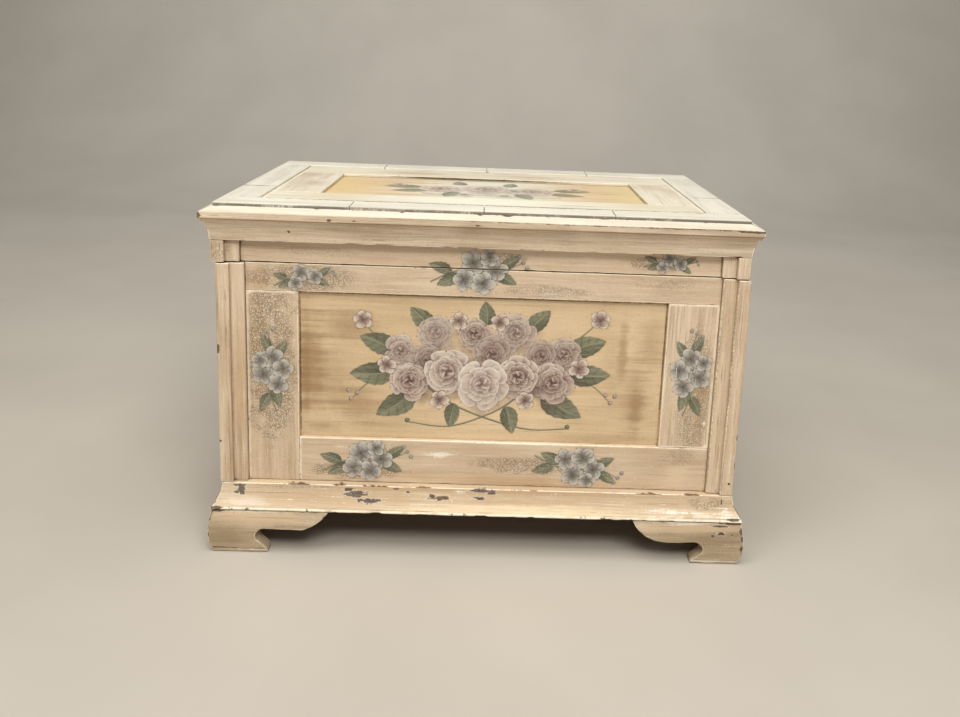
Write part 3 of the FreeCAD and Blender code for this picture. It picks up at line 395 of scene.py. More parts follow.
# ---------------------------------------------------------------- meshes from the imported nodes


def worn(node, step, radius=0.0007, wave=0.00012, nick=0.0005, seed=1, lengthwise=None, name=None, bare=None,
         materials=(), body=None, smooth_angle=35.0, keep=None):
    """A finer copy of a node: eased edges, a slightly uneven surface and small nicks along its edges."""
    src = NODES[node]
    bm = bmesh.new()
    bm.from_mesh(src.data)
    bmesh.ops.remove_doubles(bm, verts=bm.verts[:], dist=2e-6)
    bmesh.ops.dissolve_limit(bm, angle_limit=math.radians(0.6), verts=bm.verts[:], edges=bm.edges[:], use_dissolve_boundaries=False)
    sharp = [e for e in bm.edges if len(e.link_faces) == 2 and e.is_convex and e.calc_face_angle(0.0) > math.radians(28.0)]
    mark = bm.verts.layers.float.new("edge")
    eased = bm.faces.layers.int.new("eased")
    if radius > 0 and sharp:
        made = bmesh.ops.bevel(bm, geom=sharp, offset=radius, offset_type="OFFSET", segments=2, profile=0.5,
                               affect="EDGES", clamp_overlap=True, loop_slide=True, harden_normals=False)
        for f in made["faces"]:
            f[eased] = 1
    lo = Vector(map(min, *[v.co for v in bm.verts]))
    hi = Vector(map(max, *[v.co for v in bm.verts]))
    for axis in sorted(range(3), key=lambda i: lo[i] - hi[i]):
        if not step[axis]:
            continue
        a, b = lo[axis], hi[axis]
        n = max(1, int(round((b - a) / step[axis])))
        cuts = [a + (b - a) * k / n for k in range(1, n)]
        if b - a > 0.009:
            cuts = [c for c in cuts if a + 0.003 < c < b - 0.003] + [a + 0.0017, b - 0.0017]
        normal = Vector([1.0 if i == axis else 0.0 for i in range(3)])
        for c in cuts:
            at = Vector(lo)
            at[axis] = c
            bmesh.ops.bisect_plane(bm, geom=bm.verts[:] + bm.edges[:] + bm.faces[:], dist=2e-5, plane_co=at, plane_no=normal)
    bmesh.ops.remove_doubles(bm, verts=bm.verts[:], dist=3e-5)
    bmesh.ops.triangulate(bm, faces=[f for f in bm.faces if len(f.verts) > 4])
    bmesh.ops.dissolve_degenerate(bm, dist=1e-6, edges=bm.edges[:])
    bmesh.ops.recalc_face_normals(bm, faces=bm.faces[:])
    bm.normal_update()
    for f in bm.faces:
        if f[eased]:
            for v in f.verts:
                v[mark] = 1.0
    co = np.array([v.co for v in bm.verts], float)
    no = np.array([v.normal for v in bm.verts], float)
    ed = np.array([v[mark] for v in bm.verts], float)
    low = fbm(co[:, 0] * 11, co[:, 1] * 11, co[:, 2] * 11, seed, 2)
    mid = fbm(co[:, 0] * 90, co[:, 1] * 90, co[:, 2] * 90, seed + 5, 2)
    shift = wave * (0.75 * low + 0.25 * mid)
    bite = ramp(fbm(co[:, 0] * 130, co[:, 1] * 130, co[:, 2] * 130, seed + 9, 2), 0.6, 0.8)
    shift = shift + ed * nick * (bite + 0.25 * mid)
    co = np.clip(co - no * shift[:, None], np.array(lo), np.array(hi))
    for v, p in zip(bm.verts, co):
        v.co = p
    for f in bm.faces:
        f.smooth = True
        if bare is not None:
            f.material_index = 1 if bare(f.calc_center_median(), f.normal) else 0
    bm.normal_update()
    for e in bm.edges:
        if len(e.link_faces) == 2 and e.calc_face_angle(0.0) > math.radians(smooth_angle):
            e.smooth = False
    me = bpy.data.meshes.new(name or "painted_" + node)
    bm.to_mesh(me)
    bm.free()
    for mt in materials:
        me.materials.append(mt)
    ob = bpy.data.objects.new(name or "painted_" + node, me)
    scene.collection.objects.link(ob)
    w = ob.modifiers.new("normals", "WEIGHTED_NORMAL")
    w.keep_sharp = True
    w.weight = 80
    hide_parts(node)
    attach(ob, src["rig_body"])
    return ob


# ---------------------------------------------------------------- painted decoration


class Canvas:
    """A sheet of paint laid on a flat face: u and v in metres along the face."""

    def __init__(self, u0, u1, v0, v1, res=0.0005):
        self.res = res
        u = np.arange(u0, u1 + res * 0.5, res)
        v = np.arange(v0, v1 + res * 0.5, res)
        self.U, self.V = np.meshgrid(u, v)
        self.u0, self.v0 = u0, v0
        self.rgb = np.zeros(self.U.shape + (3,))
        self.a = np.zeros(self.U.shape)
        self.h = np.zeros(self.U.shape)

    def window(self, us, vs, pad):
        i0 = int(max(0, (min(us) - pad - self.u0) / self.res))
        i1 = int(min(self.U.shape[1], (max(us) + pad - self.u0) / self.res + 2))
        j0 = int(max(0, (min(vs) - pad - self.v0) / self.res))
        j1 = int(min(self.U.shape[0], (max(vs) + pad - self.v0) / self.res + 2))
        return (slice(j0, j1), slice(i0, i1)) if i1 > i0 and j1 > j0 else None

    def lay(self, w, rgb, a, h):
        under = self.a[w]
        total = a + under * (1 - a)
        safe = np.maximum(total, 1e-6)[..., None]
        self.rgb[w] = (rgb * a[..., None] + self.rgb[w] * (under * (1 - a))[..., None]) / safe
        self.h[w] = np.maximum(self.h[w] * (1 - 0.5 * a), h * a + self.h[w] * 0.35)
        self.a[w] = total


MAUVE = dict(deep=(88, 66, 60), dark=(132, 106, 96), mid=(180, 156, 143), light=(217, 202, 187), pale=(236, 228, 214))
SLATE = dict(deep=(78, 73, 68), dark=(116, 111, 105), mid=(158, 153, 145), light=(196, 191, 181), pale=(216, 211, 200))
LEAF = dict(deep=(62, 63, 50), dark=(84, 88, 70), mid=(112, 116, 94), light=(146, 148, 122), pale=(176, 172, 146))


def toned(pal, k):
    """The same palette, lighter above 0 and deeper below it."""
    goal = np.array((246, 240, 228)) if k > 0 else np.array(pal["deep"], float)
    return {n: tuple(np.array(c, float) + (goal - np.array(c, float)) * abs(k)) for n, c in pal.items()}


def stroke(cv, at, angle, length, width, c0, c1, shape="petal", bend=0.0, alpha=0.95, streak=0.16, rim=None, rim_at=0.3,
           seed=0, leaf=None, soft=0.08, thick=0.00012, dry=0.35, shade=None, comb=15.0):
    """One brush mark that starts at a point and runs along an angle, in degrees."""
    x, y = at
    c, s = math.cos(math.radians(angle)), math.sin(math.radians(angle))
    tip = (x + c * length - s * bend * length, y + s * length + c * bend * length)
    w = cv.window((x, tip[0]), (y, tip[1]), width * 0.75 + abs(bend) * length * 0.4)
    if w is None:
        return
    U, V = cv.U[w] - x, cv.V[w] - y
    p = (U * c + V * s) / length
    t = (-U * s + V * c) - bend * length * p * p
    q = np.clip(p, 0, 1)
    if shape == "petal":
        prof = 1.94 * q ** 0.55 * (1 - q) ** 0.42
    elif shape == "leaf":
        prof = 2.75 * q ** 0.6 * (1 - q) ** 0.9
    elif shape == "comma":
        prof = 1.9 * (1 - q) ** 0.85 * q ** 0.3
    else:
        prof = np.sqrt(np.maximum(0, 1 - (2 * q - 1) ** 2))
    half = width * 0.5 * prof
    if leaf:
        half = half * (1 + 0.03 * np.sin(q * 34 + seed) * (q > 0.08))
    ragged = (fbm(cv.U[w] * 900, cv.V[w] * 900, 0.0, seed, 2) - 0.5) * 0.0007
    gap = half - np.abs(t) + ragged
    inside = (p > -0.02) & (p < 1.02)
    m = ramp(gap, -soft * width * 0.35, soft * width * 0.65) * inside
    if shade:
        near = ramp(gap, -0.0022, 0.0006) * ramp(p, -0.05, 0.25) * (p < 1.16)
        cv.lay(w, np.broadcast_to(np.asarray(shade[0], float), m.shape + (3,)), near * shade[1], np.zeros(m.shape))
    hair = fbm(p * 2.5 + seed * 3.1, t / width * comb, 0.0, seed + 3, 3)
    m = m * (1 - dry * ramp(hair, 0.5, 0.8) * ramp(p, 0.3, 1.0))
    k = ramp(p + 0.35 * (hair - 0.5), 0.05, 0.95)[..., None]
    rgb = np.asarray(c0, float) * (1 - k) + np.asarray(c1, float) * k
    rgb = rgb * (1 + streak * 2 * (hair - 0.5))[..., None]
    v = t / np.maximum(half, 1e-5)
    if rim is not None:
        r = (ramp(np.abs(v), 1 - rim_at, 1.0) * ramp(p, 0.25, 0.6) + ramp(p, 1 - rim_at * 0.55, 1.0)).clip(0, 1)[..., None]
        rgb = rgb * (1 - 0.8 * r) + np.asarray(rim, float) * 0.8 * r
    if leaf:
        side = ramp(v, -0.15, 0.15)[..., None]
        rgb = rgb * (1 - 0.42 * side) + np.asarray(leaf["light"], float) * 0.42 * side
        ribs = np.sin((p * 5.2 - np.abs(v) * 0.75) * 2 * math.pi + seed)
        rib = (ramp(ribs, 0.55, 0.98) * ramp(np.abs(v), 0.04, 0.2) * 0.34)[..., None]
        rgb = rgb * (1 - rib) + np.asarray(leaf["deep"], float) * rib
        spine = (ramp(np.abs(t), 0.0006, 0.0001) * ramp(p, 0.98, 0.8) * 0.6)[..., None]
        rgb = rgb * (1 - spine) + np.asarray(leaf["pale"], float) * spine
        low = (ramp(np.abs(v), 0.72, 1.0) * ramp(-v, 0.0, 0.5) * 0.55)[..., None]
        rgb = rgb * (1 - low) + np.asarray(leaf["deep"], float) * low
    cv.lay(w, rgb, m * alpha, thick * (0.4 + 0.6 * np.clip(hair, 0, 1)))


def haze(cv, at, ru, rv, colour, alpha, seed=0):
    """A thin soft wash."""
    w = cv.window((at[0] - ru, at[0] + ru), (at[1] - rv, at[1] + rv), 0.004)
    if w is None:
        return
    d = np.hypot((cv.U[w] - at[0]) / ru, (cv.V[w] - at[1]) / rv)
    d = d + (fbm(cv.U[w] * 60, cv.V[w] * 90, 0.0, seed, 3) - 0.5) * 0.7
    cv.lay(w, np.broadcast_to(np.asarray(colour, float), d.shape + (3,)), ramp(d, 1.0, 0.25) * alpha, np.zeros(d.shape))


def stem(cv, points, w0, w1, pal, alpha=0.92, seed=0):
    """A tapering line through a few points."""
    pts = np.array(points, float)
    n = 28
    out = []
    for i in range(len(pts) - 1):
        a, b = pts[max(i - 1, 0)], pts[i]
        c, d = pts[i + 1], pts[min(i + 2, len(pts) - 1)]
        for k in range(n):
            t = k / n
            out.append(0.5 * ((2 * b) + (c - a) * t + (2 * a - 5 * b + 4 * c - d) * t * t + (3 * b - a - 3 * c + d) * t ** 3))
    out.append(pts[-1])
    line = np.array(out)
    w = cv.window(line[:, 0], line[:, 1], max(w0, w1) * 2)
    if w is None:
        return
    U, V = cv.U[w], cv.V[w]
    best = np.full(U.shape, 1e9)
    side = np.zeros(U.shape)
    wid = np.full(U.shape, w0)
    for i in range(len(line) - 1):
        a, b = line[i], line[i + 1]
        d = b - a
        L = max(float(d @ d), 1e-14)
        t = np.clip(((U - a[0]) * d[0] + (V - a[1]) * d[1]) / L, 0, 1)
        dx, dy = U - a[0] - d[0] * t, V - a[1] - d[1] * t
        dist = np.hypot(dx, dy)
        near = dist < best
        best = np.where(near, dist, best)
        side = np.where(near, dx + dy, side)
        wid = np.where(near, w0 + (w1 - w0) * (i / len(line)), wid)
    n1 = fbm(U * 500, V * 500, 0.0, seed, 2)
    m = ramp(wid * 0.5 - best + (n1 - 0.5) * 0.0004, -0.0003, 0.0004) * alpha
    k = ramp(side, -0.0005, 0.0005)[..., None]
    rgb = np.asarray(pal["dark"], float) * (1 - k) + np.asarray(pal["light"], float) * k
    cv.lay(w, rgb * (0.9 + 0.2 * n1)[..., None], m, np.full(U.shape, 0.0001))


def rose(cv, at, r, pal, seed, turn=0.0, light=(-0.5, 0.8), alpha=0.96):
    """A full blossom of loose, cupped petals round a dark heart."""
    rng = np.random.RandomState(seed)
    haze(cv, (at[0] + 0.1 * r, at[1] - 0.2 * r), r * 1.26, r * 1.2, pal["deep"], 0.8 * alpha, seed)
    for ring, (n, start, reach, wide, a, b, edge) in enumerate((
            (7, 0.36, 0.74, 0.92, "dark", "light", "pale"),
            (6, 0.22, 0.62, 0.80, "dark", "light", "pale"),
            (5, 0.10, 0.50, 0.62, "deep", "mid", "pale"),
            (4, 0.03, 0.34, 0.42, "deep", "mid", "light"))):
        order = rng.permutation(n)
        for i in order:
            ang = turn + (i + 0.5 * (ring % 2)) * 360.0 / n + rng.uniform(-17, 17)
            d = (math.cos(math.radians(ang)), math.sin(math.radians(ang)))
            lit = 0.5 + 0.5 * (d[0] * light[0] + d[1] * light[1])
            k = 0.55 * (1 - lit) + 0.2 * rng.uniform(0, 1)
            c0 = np.array(pal[a], float) * (0.88 + 0.16 * lit)
            c1 = np.array(pal[b], float) * (1 - k) + np.array(pal["mid"], float) * k
            tip = np.array(pal[edge], float) * (1 - 0.7 * k) + np.array(pal["light"], float) * 0.7 * k * 0.94
            L = r * reach * rng.uniform(0.82, 1.12)
            stroke(cv, (at[0] + d[0] * r * start * 0.9, at[1] + d[1] * r * start * 0.9), ang + rng.uniform(-12, 12), L * 0.86,
                   r * wide * rng.uniform(0.82, 1.12), c0, c1, "petal", rng.uniform(-0.22, 0.22), alpha, 0.10, tip, 0.34,
                   seed * 31 + ring * 11 + int(i), None, 0.07, 0.00016, 0.2, (pal["deep"], 0.42), 5.0)
    stroke(cv, (at[0] - 0.12 * r, at[1] - 0.02 * r), 10, 0.26 * r, 0.19 * r, pal["deep"], pal["deep"], "round", 0, 0.9 * alpha, 0.2, seed=seed)
    for k in range(3):
        ang = turn + k * 120 + rng.uniform(-25, 25)
        d = (math.cos(math.radians(ang)), math.sin(math.radians(ang)))
        stroke(cv, (at[0] + d[0] * 0.08 * r, at[1] + d[1] * 0.08 * r), ang + 60, 0.24 * r, 0.11 * r, pal["mid"], pal["pale"], "comma",
               0.35, 0.85 * alpha, 0.1, seed=seed + k, dry=0.1)


def blossom(cv, at, r, pal, seed, turn=0.0, petals=5):
    """A small open flower."""
    rng = np.random.RandomState(seed)
    haze(cv, (at[0] + 0.1 * r, at[1] - 0.12 * r), r * 1.15, r * 1.1, pal["deep"], 0.4, seed)
    for i in rng.permutation(petals):
        ang = turn + i * 360.0 / petals + rng.uniform(-7, 7)
        stroke(cv, at, ang, r * rng.uniform(0.92, 1.06), r * rng.uniform(0.82, 0.95), pal["dark"], pal["light"], "petal",
               rng.uniform(-0.14, 0.14), 0.95, 0.10, pal["pale"], 0.34, seed * 13 + int(i), None, 0.08, 0.00013, 0.15, (pal["deep"], 0.6), 6.0)
    stroke(cv, (at[0] - 0.11 * r, at[1]), 0, 0.22 * r, 0.20 * r, (74, 62, 50), (104, 90, 70), "round", 0, 0.9, 0.2, seed=seed)
    for k in range(5):
        ang = turn + 36 + k * 72 + rng.uniform(-10, 10)
        d = (math.cos(math.radians(ang)), math.sin(math.radians(ang)))
        stroke(cv, (at[0] + d[0] * 0.17 * r - 0.03 * r, at[1] + d[1] * 0.17 * r), 0, 0.09 * r, 0.09 * r, pal["deep"], pal["deep"], "round",
               0, 0.9, 0.1, seed=seed + k, dry=0.0)


def leaf(cv, at, angle, length, width, seed, bend=0.12, pal=LEAF, alpha=0.95):
    stroke(cv, at, angle, length, width, pal["dark"], pal["mid"], "leaf", bend, alpha, 0.2, None, 0.3, seed, pal, 0.05, 0.00014, 0.15)


def berry(cv, at, r, pal, seed):
    stroke(cv, (at[0] - r, at[1]), 0, 2 * r, 2 * r, pal["dark"], pal["mid"], "round", 0, 0.95, 0.1, None, seed=seed, dry=0.0)
    stroke(cv, (at[0] - 0.5 * r, at[1] + 0.3 * r), 10, 0.7 * r, 0.5 * r, pal["pale"], pal["light"], "round", 0, 0.8, 0.1, seed=seed + 1, dry=0.0)


def lay_sheet(name, cv, place, out, body, material, lift=0.00014):
    """The canvas as a thin skin of paint: place(u, v) gives points on the face, out the way it looks."""
    used = cv.a > 0.025
    cell = used[:-1, :-1] | used[1:, :-1] | used[:-1, 1:] | used[1:, 1:]
    near = np.zeros_like(used)
    near[:-1, :-1] |= cell
    near[1:, :-1] |= cell
    near[:-1, 1:] |= cell
    near[1:, 1:] |= cell
    index = np.full(used.shape, -1, int)
    index[near] = np.arange(near.sum())
    U, V = cv.U[near], cv.V[near]
    pts = place(U, V) + np.outer(lift + cv.h[near] * cv.a[near], out)
    jj, ii = np.nonzero(cell)
    quads = np.stack([index[jj, ii], index[jj, ii + 1], index[jj + 1, ii + 1], index[jj + 1, ii]], 1)
    e1, e2 = pts[quads[0, 1]] - pts[quads[0, 0]], pts[quads[0, 3]] - pts[quads[0, 0]]
    if np.dot(np.cross(e1, e2), out) < 0:
        quads = quads[:, ::-1]
    me = bpy.data.meshes.new(name)
    me.vertices.add(len(pts))
    me.vertices.foreach_set("co", pts.astype(np.float32).ravel())
    me.loops.add(len(quads) * 4)
    me.loops.foreach_set("vertex_index", quads.astype(np.int32).ravel())
    me.polygons.add(len(quads))
    me.polygons.foreach_set("loop_start", np.arange(0, len(quads) * 4, 4, dtype=np.int32))
    me.polygons.foreach_set("loop_total", np.full(len(quads), 4, np.int32))
    me.update(calc_edges=True)
    me.validate()
    me.shade_smooth()
    layer = me.color_attributes.new("deco", "FLOAT_COLOR", "POINT")
    rgba = np.concatenate([linear(cv.rgb[near].clip(0, 255)), cv.a[near][:, None]], 1)
    layer.data.foreach_set("color", rgba.astype(np.float32).ravel())
    me.materials.append(material)
    ob = bpy.data.objects.new(name, me)
    scene.collection.objects.link(ob)
    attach(ob, body)
    return ob


# ---------------------------------------------------------------- colours and places

CREAM = dict(tint=(214, 192, 165), shade=(204, 180, 152), glaze=(166, 137, 104), pale=(238, 224, 200), glaze_amount=0.3)
OCHRE = dict(tint=(219, 194, 157), shade=(213, 187, 149), glaze=(164, 134, 98), pale=(230, 210, 178), glaze_amount=0.2)
WHITE = dict(tint=(230, 225, 210), shade=(221, 215, 199), glaze=(170, 164, 150), pale=(234, 232, 222), glaze_amount=0.25)
# the cream paint made lighter and whiter for the lid's top frame: painted light from above
CREAM_LIT_FROM_ABOVE = dict(tint=(228, 221, 201), shade=(219, 210, 189), glaze=(172, 150, 130), pale=(230, 222, 204), glaze_amount=0.3)
COVE = dict(tint=(217, 197, 171), shade=(204, 183, 156), glaze=(156, 134, 108), pale=(234, 221, 199), glaze_amount=0.5)
FOOT = dict(tint=(196, 175, 147), shade=(184, 162, 133), glaze=(130, 109, 83), pale=(230, 218, 194), glaze_amount=0.5)
BASE = dict(tint=(211, 190, 161), shade=(202, 178, 147), glaze=(176, 144, 108), pale=(242, 230, 208), glaze_amount=0.25)
GREY_CHIP, RED_CHIP, BROWN_CHIP = (104, 90, 80), (112, 74, 56), (104, 80, 60)

FRONT, PANEL = -0.17215, -0.16605


def mm(*v):
    return tuple(x * 0.001 for x in v)


def f(x, z, rx, rz, ry=12.0, y=-172.0):
    """A place on the front, in millimetres."""
    return mm(x, y, z), mm(rx, ry, rz)


def outside_root(c, n):
    return not (c.y < -0.1653 or abs(c.x) > 0.2775 or (c.z > 0.3372 and n.z > 0.5) or c.z < 0.0812) or c.y > 0.1893


def bare_base(c, n):
    return (c.y > -0.1700 and abs(c.x - 0.0012) < 0.2785) or n.z < -0.6 or c.y > 0.1893


def bare_lid(c, n):
    if c.z > 0.3884:
        return n.z < -0.6
    return (c.y > -0.1690 and abs(c.x + 0.0036) < 0.2740) or n.z < -0.6 or c.y > 0.1893


PAINTED = {}


def make(node, along, tones, step, seed, bare=None, inner="bare_in", slot=None, worn_args=None, deco=False, **more):
    args = dict(tones)
    args.update(more)
    PAINTED[node] = (along, seed, args)
    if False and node.startswith(("left_", "right_", "post_rear", "foot_rear", "lid_frieze_left", "lid_frieze_right")):
        NODES[node].data.materials.clear()
        NODES[node].data.materials.append(INNER[inner])
        return NODES[node]
    mat = paint("paint_" + node, along, seed=seed, **args)
    obj = worn(node, step, seed=int(seed * 10) + 3, bare=bare, materials=(mat, INNER[inner]), **(worn_args or {}))
    return obj


def deco_of(node):
    along, seed, args = PAINTED[node]
    return paint("decorated_" + node, along, seed=seed, deco=True, **args)


INNER = {
    "bare_in": wood("bare_inside", "x", (196, 162, 118), (168, 128, 84), 1.0),
    "bare_v": wood("bare_upright", "z", (196, 162, 118), (168, 128, 84), 2.0),
    "bare_y": wood("bare_crossways", "y", (196, 162, 118), (168, 128, 84), 3.0),
    "dark": wood("bare_under", "x", (150, 118, 82), (112, 84, 56), 4.0),
}
RAIL = (0.006, 0.009, 0.012)
STILE = (0.012, 0.009, 0.006)

# front frame
make("front_top_rail", "x", CREAM, RAIL, 0.3, outside_root, dirt=0.45, slot="painted_cream",
     crackle=[(*f(-204, 321, 72, 19), 0.95), (*f(70, 315, 60, 8), 0.7), (*f(200, 328, 50, 7), 0.5)],
     blobs=[(*f(-60, 320, 60, 14), (228, 208, 180), 0.5), (*f(-248, 318, 16, 20), (186, 152, 114), 0.5)],
     white=[(*f(72, 312, 44, 5), 0.45)])
make("front_bottom_rail", "x", CREAM, RAIL, 1.1, outside_root, dirt=0.45, slot="painted_cream",
     crackle=[(*f(-140, 94, 66, 11), 1.0), (*f(70, 107, 90, 13), 0.9), (*f(230, 122, 24, 12), 0.5)],
     # the thin pale line at z 133.5 along the panel opening is a painted highlight; the other white patches are worn
     # paint
     white=[(*f(-45, 117, 30, 8), 1.0), (*f(-160, 124, 30, 5), 0.5), (*f(0, 133.5, 214, 1.8, 4), 0.85)],
     blobs=[(*f(-120, 93, 110, 9), (196, 160, 118), 0.5), (*f(80, 88, 190, 7), (198, 160, 112), 0.35), (*f(230, 104, 30, 18), (228, 206, 172), 0.5)])
make("front_left_stile", "z", CREAM, STILE, 2.2, outside_root, "bare_v", dirt=0.45, slot="painted_cream",
     crackle=[(*f(-237, 228, 36, 118), 1.0)], blobs=[(*f(-248, 230, 12, 100), (182, 148, 108), 0.45), (*f(-222, 280, 16, 26), (230, 208, 180), 0.5)])
make("front_right_stile", "z", CREAM, STILE, 3.4, outside_root, "bare_v", dirt=0.45, slot="painted_cream", lines=0.8, streak=0.55,
     blobs=[(*f(250, 190, 12, 80), (176, 142, 104), 0.6), (*f(224, 200, 12, 70), (230, 210, 180), 0.5)],
     # the thin pale line at x 206.5 along the panel opening is a painted highlight; the spot at x 256 is worn paint
     crackle=[(*f(243, 196, 24, 100), 0.75)], white=[(*f(206.5, 220, 1.8, 92, 4), 0.9), (*f(256, 165, 5, 6), 0.8)])
SMUDGE = (146, 112, 74)
def p(x, z, rx, rz):
    return mm(x, -166.0, z), mm(rx, 30, rz)


make("front_panel", "x", OCHRE, (0.012, 0.02, 0.012), 4.1, outside_root, slot="panel_ochre", lines=0.4, streak=0.16, dirt=0.5,
     # the three dark lines along the panel's top and side edges are a dark joint and painted shadow of the frame
     chips=[(*p(0, 304.0, 230, 0.9), (104, 80, 54), 0.7), (*p(-205.3, 220, 0.9, 100), (96, 74, 50), 0.8), (*p(205.3, 240, 0.9, 80), (96, 74, 50), 0.7)],
     edge_dark=0.0, worn_args=dict(radius=0.0, nick=0.0, wave=0.00005),
     blobs=[(*p(-194, 220, 26, 96), SMUDGE, 0.68), (*p(-150, 268, 46, 30), SMUDGE, 0.5), (*p(-140, 172, 44, 34), SMUDGE, 0.52),
            (*p(-170, 200, 40, 60), SMUDGE, 0.34), (*p(-180, 146, 44, 14), SMUDGE, 0.5), (*p(174, 190, 26, 60), SMUDGE, 0.5),
            # the pale band just under the top rail, at (0, 301), is painted light over the rail's shadow
            (*p(150, 216, 20, 60), SMUDGE, 0.26), (*p(190, 256, 22, 46), SMUDGE, 0.36), (*p(0, 301, 215, 5), (242, 218, 182), 0.5),
            (*p(159, 244, 8, 56), SMUDGE, 0.5), (*p(178, 178, 12, 50), SMUDGE, 0.5), (*p(-199, 215, 8, 96), SMUDGE, 0.5), (*p(-128, 150, 60, 8), SMUDGE, 0.3),
            (*p(150, 140, 90, 8), SMUDGE, 0.3), (*p(30, 200, 150, 90), (230, 203, 168), 0.6)])

# corner posts
for node, seed in (("post_front_left", 5.2), ("post_front_right", 6.7), ("post_rear_left", 7.1), ("post_rear_right", 8.3)):
    sx = -1 if "left" in node else 1
    # the left posts take strong corner darkening, painted shade along their step lines; the right posts take little
    make(node, "z", CREAM, (0.008, 0.008, 0.005), seed, outside_root, "bare_v", slot="painted_cream", lines=0.9, streak=0.65, edge_light=1.0,
         dirt=0.9 if sx < 0 else 0.2, worn_args=dict(radius=0.0011, nick=0.0009, wave=0.0002),
         blobs=[(mm(-270, -176, 190), mm(9, 20, 120), (188, 156, 116), 0.5)] if sx < 0 else [(mm(268, -176, 150), mm(7, 20, 110), (196, 168, 130), 0.4)],
         # the two pale lines along the step arrises, at x 264.5 and 279.8, are painted highlights; the rest are chips
         chips=[(mm(264.5, -177.4, 210), mm(1.0, 3, 150), (234, 216, 188), 0.8), (mm(279.8, -182.0, 210), mm(1.0, 3, 150), (234, 216, 188), 0.8),
                (mm(293.5, -182, 336.5), mm(3.5, 4, 2.2), (238, 232, 220)), (mm(294.2, -181, 152), mm(1.6, 5, 5), BROWN_CHIP),
                (mm(294.2, -181, 118), mm(1.6, 5, 9), BROWN_CHIP), (mm(289, -182, 96), mm(2, 5, 2), BROWN_CHIP)] if node == "post_front_right" else
         [(mm(-293.5, -181, 131), mm(2.5, 4, 1.2), BROWN_CHIP), (mm(-293, -181, 240), mm(2.0, 4, 6), BROWN_CHIP)] if node == "post_front_left" else ())

# side frames
for side, sx in (("left", -1), ("right", 1)):
    k = 0 if sx < 0 else 10
    X = sx * 284.0
    make(side + "_top_rail", "y", CREAM, (0.009, 0.007, 0.012), 9.1 + k, outside_root, "bare_y", slot="painted_cream",
         crackle=[(mm(X, -60, 322), mm(12, 46, 12), 0.8)])
    make(side + "_bottom_rail", "y", CREAM, (0.009, 0.007, 0.012), 9.7 + k, outside_root, "bare_y", slot="painted_cream",
         crackle=[(mm(X, 60, 96), mm(12, 70, 12), 0.8)], white=[(mm(X, -70, 118), mm(12, 26, 7), 0.5)])
    make(side + "_front_stile", "z", CREAM, (0.009, 0.012, 0.007), 10.3 + k, outside_root, "bare_v", slot="painted_cream",
         crackle=[(mm(X, -124, 210), mm(12, 22, 60), 0.7)], lines=0.7)
    make(side + "_rear_stile", "z", CREAM, (0.009, 0.012, 0.007), 11.2 + k, outside_root, "bare_v", slot="painted_cream", lines=0.7,
         crackle=[(mm(X, 132, 250), mm(12, 20, 50), 0.6)])
    make(side + "_panel", "y", OCHRE, (0.02, 0.012, 0.012), 12.4 + k, outside_root, slot="panel_ochre", lines=0.35, edge_dark=0.0,
         glaze_amount=0.3, worn_args=dict(radius=0.0, nick=0.0, wave=0.00005),
         blobs=[(mm(X, -84, 220), mm(12, 26, 90), SMUDGE, 0.5), (mm(X, 92, 230), mm(12, 26, 90), SMUDGE, 0.5),
                (mm(X, 5, 140), mm(12, 90, 14), SMUDGE, 0.35)])

